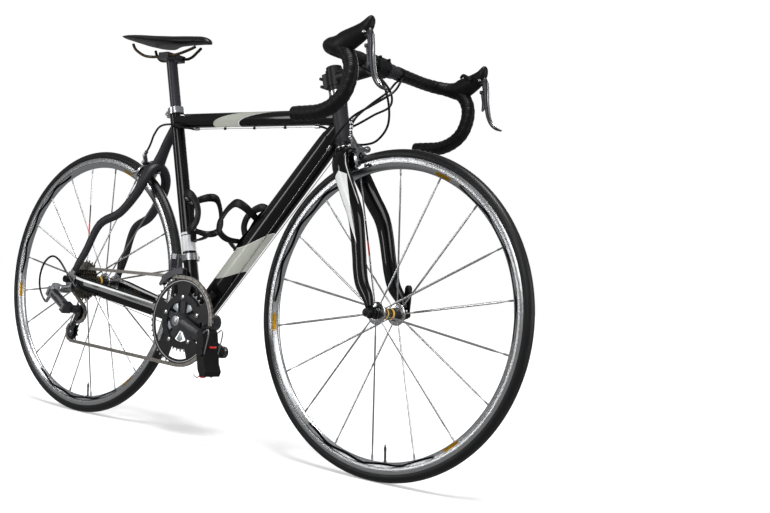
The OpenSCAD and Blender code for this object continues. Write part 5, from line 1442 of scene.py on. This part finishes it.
@dataclass
class BottleCages:
    """Two cages: a spine bolted to the tube, two wide split bands and a folded foot.

    Attributes:
        bottle: Radius of the bottle they hold.
    """

    bottle: float = 37.0

    def build(self) -> None:
        """Builds one cage on the seat tube and one on the down tube."""
        shape = Shape()
        seat = BB + 250 * SEAT_DIR + 16.5 * SEAT_FWD
        down = BB + 262 * DT_DIR + 28 * DT_UP
        for at, out, up in ((seat, SEAT_FWD, SEAT_DIR), (down, DT_UP, DT_DIR)):
            self.cage(shape, at, out, up)
        piece = shape.piece("bottle_cage_pair", MOULDED_BLACK, "frame", ["bottle_cages"])

    def cage(self, shape: Shape, at: Vector, out: Vector, up: Vector) -> None:
        """Adds one cage.

        Args:
            shape: The shape it is added to.
            at: Its middle on the tube's surface.
            out: The way away from the tube.
            up: The way along the tube.
        """
        def spot(x: float, y: float, z: float) -> Vector:
            """A place given away from the tube, across it and along it."""
            return at + x * out + y * Y + z * up

        spine = [(2.0, -62, 9, 1.6), (2.0, -40, 10, 1.7), (2.0, -24, 13, 1.7), (2.0, 0, 9, 1.7),
            (2.0, 26, 12.5, 1.7), (2.0, 42, 13, 1.7), (2.0, 66, 7, 1.4)]
        shape.sweep(smooth([[*spot(x, 0, z), a, b] for x, z, a, b in spine], 4), 24)
        foot = [(3, -59, 9, 1.5), (18, -60.8, 9, 1.5), (34, -60.8, 9, 1.5), (45, -59, 7, 1.4)]
        shape.sweep(smooth([[*spot(x, 0, z), a, b] for x, z, a, b in foot], 4), 20)
        wing = ((172, 34, 7.0), (142, 43, 8.4), (110, 45, 9.6), (82, 36, 9.6), (66, 15, 8.6),
                (62, -9, 8.4), (72, -31, 9.0), (98, -43, 9.2), (132, -43, 8.0), (172, -34, 6.6))
        reach = self.bottle + 4.2
        for m in (-1, 1):
            band = []
            for degrees, height, half in wing:
                a = math.radians(degrees)
                band.append([*spot(self.bottle + 6 + reach * math.cos(a), m * reach * math.sin(a), height),
                    half, 1.7])
            shape.sweep(smooth(band, 6), 16, up)


@dataclass
class Brake:
    """A dual-pivot calliper: polished arms, black pads and a barrel adjuster.

    Attributes:
        name: "front" or "rear".
        at: Its centre bolt.
        up: The way away from the axle.
        ahead: The way away from the frame.
        carrier: The body that carries it.
    """

    name: str
    at: Vector
    up: Vector
    ahead: Vector
    carrier: str

    def build(self) -> None:
        """Dresses the arms and adds what stands on them."""
        dress(POLISHED, f"{self.name}_brake_arm_right", f"{self.name}_brake_arm_left")
        self.pads()
        self.bolts()
        self.adjuster()

    def spot(self, x: float, y: float, z: float) -> Vector:
        """A place given along the bolt, across the wheel and away from the axle."""
        return self.at + x * self.ahead + y * Y + z * self.up

    def pads(self) -> None:
        """Rounded rubber blocks that cover the plain pads."""
        for side, m in (("right", -1), ("left", 1)):
            y = m * (9.75 + 1.45 + 2.0)
            stations = [[*self.spot(x, y + m * dy, -45.5 + dz), 2.4 * f, 4.7 * f] for x, dy, dz, f in (
                (-12.2, 0, -0.2, 0.7), (-11, 0, 0, 0.98), (6, 0, 0.2, 1.02), (24, 0, 0.1, 1.02),
                (39, 0, -0.2, 0.98), (40.2, 0, -0.3, 0.7))]
            shape = Shape().sweep(smooth(stations, 3), 20)
            shape.piece(f"{self.name}_pad_{side}", RUBBER_BLACK, f"{self.name}_brake_arm_{side}")
            holder = Shape().rod(self.spot(12, y + m * 3.4, -43.5), self.spot(12, y + m * 8.6, -43.5), 3.6,
                3.3, 24, 0.5)
            holder.piece(f"{self.name}_pad_bolt_{side}", STEEL, f"{self.name}_brake_arm_{side}")

    def bolts(self) -> None:
        """Nut on the centre bolt, and the side pin's cap."""
        shape = Shape().rod(self.spot(13.6, 0, 0), self.spot(18.4, 0, 0), 6.2, 5.4, 6, 0.6)
        shape.rod(self.spot(18, 0, 0), self.spot(19.4, 0, 0), 3.6, sides=24, soft=0.4)
        shape.rod(self.spot(21.2, 19, 0), self.spot(24.4, 19, 0), 4.6, 4.2, 32, 0.7)
        shape.piece(f"{self.name}_brake_bolts", STEEL, self.carrier)

    def adjuster(self) -> None:
        """Knurled barrel with black rings, and the cable's pinch bolt."""
        body = f"{self.name}_brake_arm_right"
        foot = self.spot(18, -31, 15)
        shape = Shape()
        for k in range(4):
            shape.rod(foot + (1 + 4 * k) * self.up, foot + (3.6 + 4 * k) * self.up, 4.2, sides=24, soft=0.5)
        shape.piece(f"{self.name}_barrel_rings", MOULDED_BLACK, body)
        if self.carrier == "fork_and_bars":
            self.tall_barrel()
        pinch = Shape().rod(self.spot(7, -29, 2), self.spot(15.5, -29, 2), 4.4, 4.0, 6, 0.5)
        pinch.piece(f"{self.name}_pinch_bolt", STEEL, f"{self.name}_brake_arm_left")

    def tall_barrel(self) -> None:
        """Long bright barrel with black rings that stands on the front brake."""
        foot, way = Vector((360.2, -31, 702)), Vector((0.01, 0.07, 1)).normalized()
        barrel = Shape().rod(foot - 1.5 * way, foot + 26 * way, 3.9, 3.3, 32, 0.6)
        barrel.piece("tall_barrel", POLISHED, "front_brake_arm_right")
        rings = Shape()
        for k in (3, 11, 19):
            rings.rod(foot + k * way, foot + (k + 2.6) * way, 4.3, sides=32, soft=0.5)
        rings.piece("tall_barrel_rings", MOULDED_BLACK, "front_brake_arm_right")


@dataclass(frozen=True)
class RingFinish(Finish):
    """Black anodised chainring with worn bright teeth and a bright edge line."""

    def colours(self, g: Graph, base: object) -> object:
        """Lays the bright edge and the pale worn teeth.

        Args:
            g: The graph it is drawn in.
            base: The colour below.

        Returns:
            The painted colour.
        """
        radius, turn = polar(g, BB)
        edge = g.paint(base, (0.5, 0.5, 0.5), g.band(radius, 92.6, 94.0))
        return g.paint(edge, (0.3, 0.29, 0.28), g.step(radius, 98.6, 0.8))


@dataclass(frozen=True)
class CogFinish(Finish):
    """Bronze-grey sprockets, darker towards the carrier."""

    def colours(self, g: Graph, base: object) -> object:
        """Darkens towards the carrier."""
        radius, _ = polar(g, REAR)
        return g.paint((0.08, 0.07, 0.06), base, g.step(radius, 22.0, 10.0))


@dataclass
class Drivetrain:
    """Cranks, chainrings, cassette, chain and pedals."""

    def build(self) -> None:
        """Builds the crank arms, rings, cassette, chain and pedals."""
        dress(RingFinish("ring_black", (0.006, 0.006, 0.007), 0.2, 0.32, 0.1, Grain.FINE, 0.08),
            "chainring_outer")
        dress(SATIN_ALLOY, "chainring_inner")
        dress(CogFinish("cassette_steel", (0.34, 0.31, 0.27), 1.0, 0.36, 0.0, Grain.BRUSHED, 0.2, 0.3),
            "cassette")
        dress(CARBON_BLACK, "crank_right", "crank_left")
        dress(MOULDED_BLACK, "pedal_right", "pedal_left")
        self.ring_details()
        self.arm("right", -1, ARM_DIR)
        self.arm("left", 1, -ARM_DIR)
        self.pedal("right", -1, PEDAL)
        self.pedal("left", 1, PEDAL_LEFT)
        self.chain()

    def ring_details(self) -> None:
        """Five facets and five bolts on the spider."""
        bolts, facets = Shape(), Shape()
        for k in range(5):
            way = direction(90 - 72 * k)
            at = BB + 55 * way
            bolts.rod(at - 47.2 * Y, at - 49.8 * Y, 5.4, 5.0, 32, 0.5).rod(at - 49.6 * Y, at - 50.1 * Y,
                2.6, sides=6, soft=0.1)
            mid = direction(54 - 72 * k)
            outline = [(BB.x + r * d.x, BB.z + r * d.z) for r,
                d in ((24, mid), (43, direction(40 - 72 * k)), (47, mid), (43, direction(68 - 72 * k)))]
            facets.plate(outline, facing_y(-44.4), 1.2, 0.3)
        bolts.piece("ring_bolts", POLISHED, "crank")
        facets.piece("spider_facets",
            Finish("facet_blue_grey", (0.42, 0.46, 0.5), 0.6, 0.3, 0.3, Grain.SMOOTH, 0.05), "crank")

    def arm(self, side: str, m: int, way: Vector) -> None:
        """Smooth hollow-looking arm with a boss at each end, and the axle's bolt cap.

        Args:
            side: "right" or "left".
            m: -1 for the right side, 1 for the left.
            way: The way the arm points.
        """
        runs = [(-14, -55, 12, 6.6), (-4, -55, 16.4, 8.3), (6, -55, 17, 8.5), (30, -56, 16, 8),
            (70, -58, 14.5, 7), (120, -62, 13, 6.5), (160, -65.6, 12.8, 6.4), (176, -66.6, 12.6, 6.3),
            (184, -66.8, 9, 5.2)]
        stations = [[*(BB + d * way + m * abs(y) * Y), b + 0.1, a + 0.1] for d, y, a, b in runs]
        shape = Shape().sweep(smooth(stations, 5), 32)
        piece = shape.piece(f"crank_arm_{side}", CARBON_BLACK, "crank")
        cap = Shape().rod(BB + m * 62.8 * Y, BB + m * 64.4 * Y, 12.4, 11.4, 48, 0.5).rod(BB + m * 64 * Y,
            BB + m * 65.2 * Y, 6.4, sides=24, soft=0.4)
        cap.piece(f"crank_cap_{side}", SATIN_ALLOY, "crank")

    def pedal(self, side: str, m: int, p: Vector) -> None:
        """Bright plate edges, a red pivot and red spring screws over the moulded body.

        Args:
            side: "right" or "left".
            m: -1 for the right side, 1 for the left.
            p: Its axle.
        """
        body = f"pedal_{side}"
        trim = Shape()
        turn = math.radians(-12)

        def spot(x: float, z: float, y: float) -> Vector:
            """A place on the tilted pedal."""
            return Vector((p.x + x * math.cos(turn) - z * math.sin(turn), m * y,
                p.z + z * math.cos(turn) + x * math.sin(turn)))

        for y in (88, 129):
            trim.sweep(smooth([[*spot(x, z, y), 1.6, 1.2] for x,
                z in ((-7, 40), (4, 50.6), (9.6, 40), (10.6, 6), (9.6, -26), (14.4, -44), (8, -54.6),
                (-5, -52.6))], 4), 12)
        trim.piece(f"pedal_edges_{side}", SATIN_ALLOY, body)
        red = Shape().rod(spot(12, 14, 100), spot(12, 14, 118), 2.2, sides=20, soft=0.6)
        red.sweep(smooth([[*spot(3, -55.2, y), a, a * 0.5] for y,
            a in ((100, 1.5), (103, 4.4), (108.5, 5.6), (114, 4.4), (117, 1.5))], 4), 20, Vector((1, 0, 0)))
        red.piece(f"pedal_red_{side}", RED, body)
        axle = Shape().rod(Vector((p.x, m * 131, p.z)), Vector((p.x, m * 133.8, p.z)), 8.4, 7.4, 32, 0.7)
        axle.piece(f"pedal_cap_{side}", DARK_ALLOY, body)

    def loop(self) -> list[tuple[Vector, Vector]]:
        """Places and headings of the chain's pins round its four wheels."""
        circles = [((BB.x, BB.z), ring_radius(50)), ((TENSION.x, TENSION.z), ring_radius(11)),
                   ((GUIDE.x, GUIDE.z), -ring_radius(11)), ((REAR.x, REAR.z), ring_radius(15))]
        n = len(circles)
        heads = []
        for i in range(n):
            (ax, az), ra = circles[i]
            (bx, bz), rb = circles[(i + 1) % n]
            dx, dz = bx - ax, bz - az
            heads.append(math.degrees(math.atan2(dz, dx) + math.asin((rb - ra) / math.hypot(dx, dz))))
        path: list[Vector] = []
        for i in range(n):
            (cx, cz), r = circles[i]
            before = heads[i - 1]
            turn = heads[i] - before
            turn = turn - 360 * math.ceil(turn / 360) if r > 0 else turn - 360 * math.floor(turn / 360)
            for k in range(49):
                a = before + 90 + turn * k / 48
                path.append(Vector((cx, -CHAIN_Y, cz)) + r * direction(a))
        path.append(path[0].copy())
        total = sum((b - a).length for a, b in zip(path, path[1:]))
        links = 2 * round(total / 12.7 / 2)
        pitch = total / links
        pins, run, want = [], 0.0, 0.0
        for a, b in zip(path, path[1:]):
            step = (b - a).length
            while want <= run + step + 1e-9 and len(pins) < links:
                pins.append((a.lerp(b, (want - run) / step if step else 0), (b - a).normalized()))
                want += pitch
            run += step
        return pins

    def chain(self) -> None:
        """Links of two waisted plates between bushed pins."""
        pins = [p for p, _ in self.loop()]
        shape, rollers = Shape(), Shape()
        for i, a in enumerate(pins):
            b = pins[(i + 1) % len(pins)]
            outline = capsule((a.x, a.z), (b.x, b.z), 7.6, 5)
            inner = i % 2 == 0
            for m in (-1, 1):
                y = -CHAIN_Y + m * (1.9 if inner else 2.75)
                shape.plate(outline, facing_y(y + 0.35), 0.7, 0.0)
            rollers.rod(a - 3.2 * Y, a + 3.2 * Y, 1.9, sides=8, soft=0.0).rod(a - 1.5 * Y, a + 1.5 * Y, 3.7,
                sides=10, soft=0.0)
        piece = shape.piece("chain_plates", CHAIN_STEEL, "frame", ["chain"])
        rollers.piece("chain_rollers", STEEL, "frame")


@dataclass
class Derailleurs:
    """Front and rear derailleurs and the levers of the wheel skewers."""

    def build(self) -> None:
        """Dresses the mechanisms and adds their bolts and the skewers' ends."""
        dress(SATIN_ALLOY, "rd_upper_knuckle", "rd_inner_link", "front_derailleur")
        dress(POLISHED, "rd_outer_link")
        dress(CARBON_BLACK, "rd_lower_knuckle", "rd_cage")
        dress(MOULDED_BLACK, "rd_guide_pulley", "rd_tension_pulley")
        dress(DARK_ALLOY, "fd_cage")
        dress(SATIN_BLACK, "front_axle", "rear_axle", "front_qr_lever", "rear_qr_lever")
        dress(POLISHED, "front_brake_mount")
        self.bolts()
        self.skewer_ends()

    def bolts(self) -> None:
        """Hanger bolt, pulley bolts and the four pins of the parallelogram."""
        hanger = REAR + Vector((-4, 0, -26))
        Shape().rod(hanger - 91 * Y, hanger - 93.4 * Y, 7.2, 6.4, 32, 0.7).rod(hanger - 93 * Y,
            hanger - 93.8 * Y, 3.2, sides=6, soft=0.1).piece(
            "hanger_bolt", STEEL, "frame")
        caps = Shape()
        for at in (GUIDE, TENSION):
            caps.rod(Vector((at.x, -CHAIN_Y - 6.4, at.z)), Vector((at.x, -CHAIN_Y - 7.8, at.z)), 4.4, 3.8,
                24, 0.4)
        caps.piece("pulley_bolts", STEEL, "rd_cage")
        pins = Shape()
        for z in (-1, 1):
            for y in (-7, 7):
                at = RD_REAR + y * Y
                pins.rod(at + z * 12.2 * RD_Z, at + z * 13.3 * RD_Z, 3.0, 2.6, 20, 0.3)
        pins.piece("rd_pin_heads", STEEL, "frame")
        face = Shape().plate(capsule((8, 0), (54, 0), 9),
            Matrix.Translation(RD_REAR - 9.1 * Y) @ Matrix((RD_X, RD_Z, -Y)).transposed().to_4x4(), 0.9,
            0.3)
        face.piece("rd_link_face", DARK_ALLOY, "rd_outer_link")

    def skewer_ends(self) -> None:
        """Knurled nuts over the skewers' plain ones, and a smooth lever pad."""
        for name, at, half, body in (("front", FRONT, 56.0, "fork_and_bars"),
            ("rear", REAR, 71.0, "frame")):
            shape = Shape()
            shape.rod(at - (half + 12.6) * Y, at - (half + 13.0) * Y, 6.8, 6.0, 32, 0.15)
            for k in range(3):
                shape.rod(at - (half + 2 + 3.4 * k) * Y, at - (half + 3.8 + 3.4 * k) * Y, 8.7, sides=40,
                    soft=0.35)
            shape.piece(f"{name}_skewer_ribs", SATIN_BLACK, body)
            lever = [[at.x, half + 11, at.z + 10, 2.2, 6.8], [at.x, half + 11.4, at.z + 26, 2.3, 7.6],
                [at.x, half + 12, at.z + 44, 2.4, 8.1], [at.x, half + 12.4, at.z + 57, 2.2, 7.0],
                [at.x, half + 12.4, at.z + 62, 1.2, 3.4]]
            Shape().sweep(smooth(lever, 5), 24).piece(f"{name}_skewer_lever_pad", SATIN_BLACK,
                f"{name}_qr_lever")


# --- studio ----------------------------------------------------------------------------------------
@dataclass
class Studio:
    """Pale floor, soft lights and the camera.

    Attributes:
        lens: Focal length for a 36 mm sensor.
        eye: The camera's place, in millimetres.
        azimuth: Which way it looks, degrees from the left-hand side's normal.
        elevation: How far it stands above its aim.
        roll: How far it leans.
    """

    lens: float = 47.72
    eye: tuple[float, float, float] = (1703.34, -1644.52, 375.74)
    azimuth: float = 37.158
    elevation: float = -2.028
    roll: float = 5.526

    def build(self) -> None:
        """Builds the whole studio."""
        self.floor()
        self.camera()
        self.lights()
        self.world()

    def floor(self) -> None:
        """Round pale floor, softly mottled."""
        shape = bmesh.new()
        bmesh.ops.create_circle(shape, cap_ends=True, segments=96, radius=40.0)
        mesh = bpy.data.meshes.new("floor")
        shape.to_mesh(mesh)
        shape.free()
        made = bpy.data.objects.new("floor", mesh)
        finish = Finish("floor_paint", (0.93, 0.93, 0.93), 0.0, 0.9, 0.0, Grain.SMOOTH, 0.02, 0.02, 0.0)
        mesh.materials.append(finish.material())
        glow = mesh.materials[0].node_tree.nodes["Principled BSDF"].inputs
        glow["Emission Color"].default_value, glow["Emission Strength"].default_value = (1, 1, 1, 1), 0.28
        made.visible_glossy = False
        bpy.context.scene.collection.objects.link(made)

    def camera(self) -> None:
        """Camera at the bicycle's front right."""
        az, el, roll = (math.radians(v) for v in (self.azimuth, self.elevation, self.roll))
        back = Vector((math.sin(az) * math.cos(el), -math.cos(az) * math.cos(el), math.sin(el)))
        right = Vector((math.cos(az), math.sin(az), 0))
        up = back.cross(right)
        across = math.cos(roll) * right + math.sin(roll) * up
        over = math.cos(roll) * up - math.sin(roll) * right
        data = bpy.data.cameras.new("camera")
        data.lens, data.sensor_width, data.clip_end = self.lens, 36.0, 200.0
        made = bpy.data.objects.new("camera", data)
        turn = Matrix((across, over, back)).transposed().to_4x4()
        turn.translation = Vector(self.eye) * METRES
        made.matrix_world = turn
        bpy.context.scene.collection.objects.link(made)
        bpy.context.scene.camera = made

    def lights(self) -> None:
        """One wide soft sun from above and soft panels at the sides."""
        sun = bpy.data.lights.new("soft_sun", "SUN")
        sun.energy, sun.angle = 2.7, math.radians(24)
        made = bpy.data.objects.new("soft_sun", sun)
        made.matrix_world = Vector((-0.25, 0.3, -1.0)).to_track_quat("-Z", "Y").to_matrix().to_4x4()
        bpy.context.scene.collection.objects.link(made)
        panels = (
            ("key", (1.2, -3.2, 1.7), (1.6, 1.4), 26.0), ("fill", (3.4, 1.0, 1.2), (1.0, 1.8), 18.0),
            ("strip", (-1.9, -2.4, 1.1), (0.4, 2.0), 14.0), ("back", (-1.2, 3.2, 1.6), (2.4, 1.2), 30.0))
        for name, place, size, watts in panels:
            data = bpy.data.lights.new(name, "AREA")
            data.shape, data.size, data.size_y, data.energy = "RECTANGLE", size[0], size[1], watts
            made = bpy.data.objects.new(name, data)
            spot = Vector(place)
            aim = (Vector((0, 0, 0.45)) - spot).to_track_quat("-Z", "Y").to_matrix().to_4x4()
            aim.translation = spot
            made.matrix_world = aim
            bpy.context.scene.collection.objects.link(made)

    def world(self) -> None:
        """White backdrop that lights the bicycle only dimly."""
        world = bpy.data.worlds.new("studio")
        world.use_nodes = True
        tree = world.node_tree
        shade = tree.nodes["Background"]
        shade.inputs["Color"].default_value = (1.0, 1.0, 1.0, 1.0)
        seen = tree.nodes.new("ShaderNodeLightPath").outputs["Is Camera Ray"]
        level = tree.nodes.new("ShaderNodeMapRange")
        level.inputs["To Min"].default_value, level.inputs["To Max"].default_value = 0.2, 1.0
        tree.links.new(seen, level.inputs["Value"])
        tree.links.new(level.outputs[0], shade.inputs["Strength"])
        bpy.context.scene.world = world
        bpy.context.scene.view_settings.view_transform = "Standard"


def main() -> None:
    """Builds the bicycle's sub-assemblies in order, then the studio."""
    logging.basicConfig(level=logging.INFO, format="%(message)s")
    parts = [
        Studio(),
        FrameSet(),
        ForkSet(),
        Wheel("front", FRONT, 9, 10.0, 33.0, 33.0, (-43.0, 43.0), 14.0),
        Wheel("rear", REAR, 10, 9.0, 38.0, 17.0, (-19.6, 58.0), 15.0),
        Cockpit(),
        Cables(),
        SeatSet(),
        BottleCages(),
        Brake("front", FRONT_BRAKE, HEAD_DIR, HEAD_FWD, "fork_and_bars"),
        Brake("rear", REAR_BRAKE, direction(56.2), direction(146.2), "frame"),
        Drivetrain(),
        Derailleurs(),
    ]
    for part in parts:
        LOG.info("building %s", type(part).__name__)
        part.build()
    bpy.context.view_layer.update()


if __name__ == "__main__":
    main()
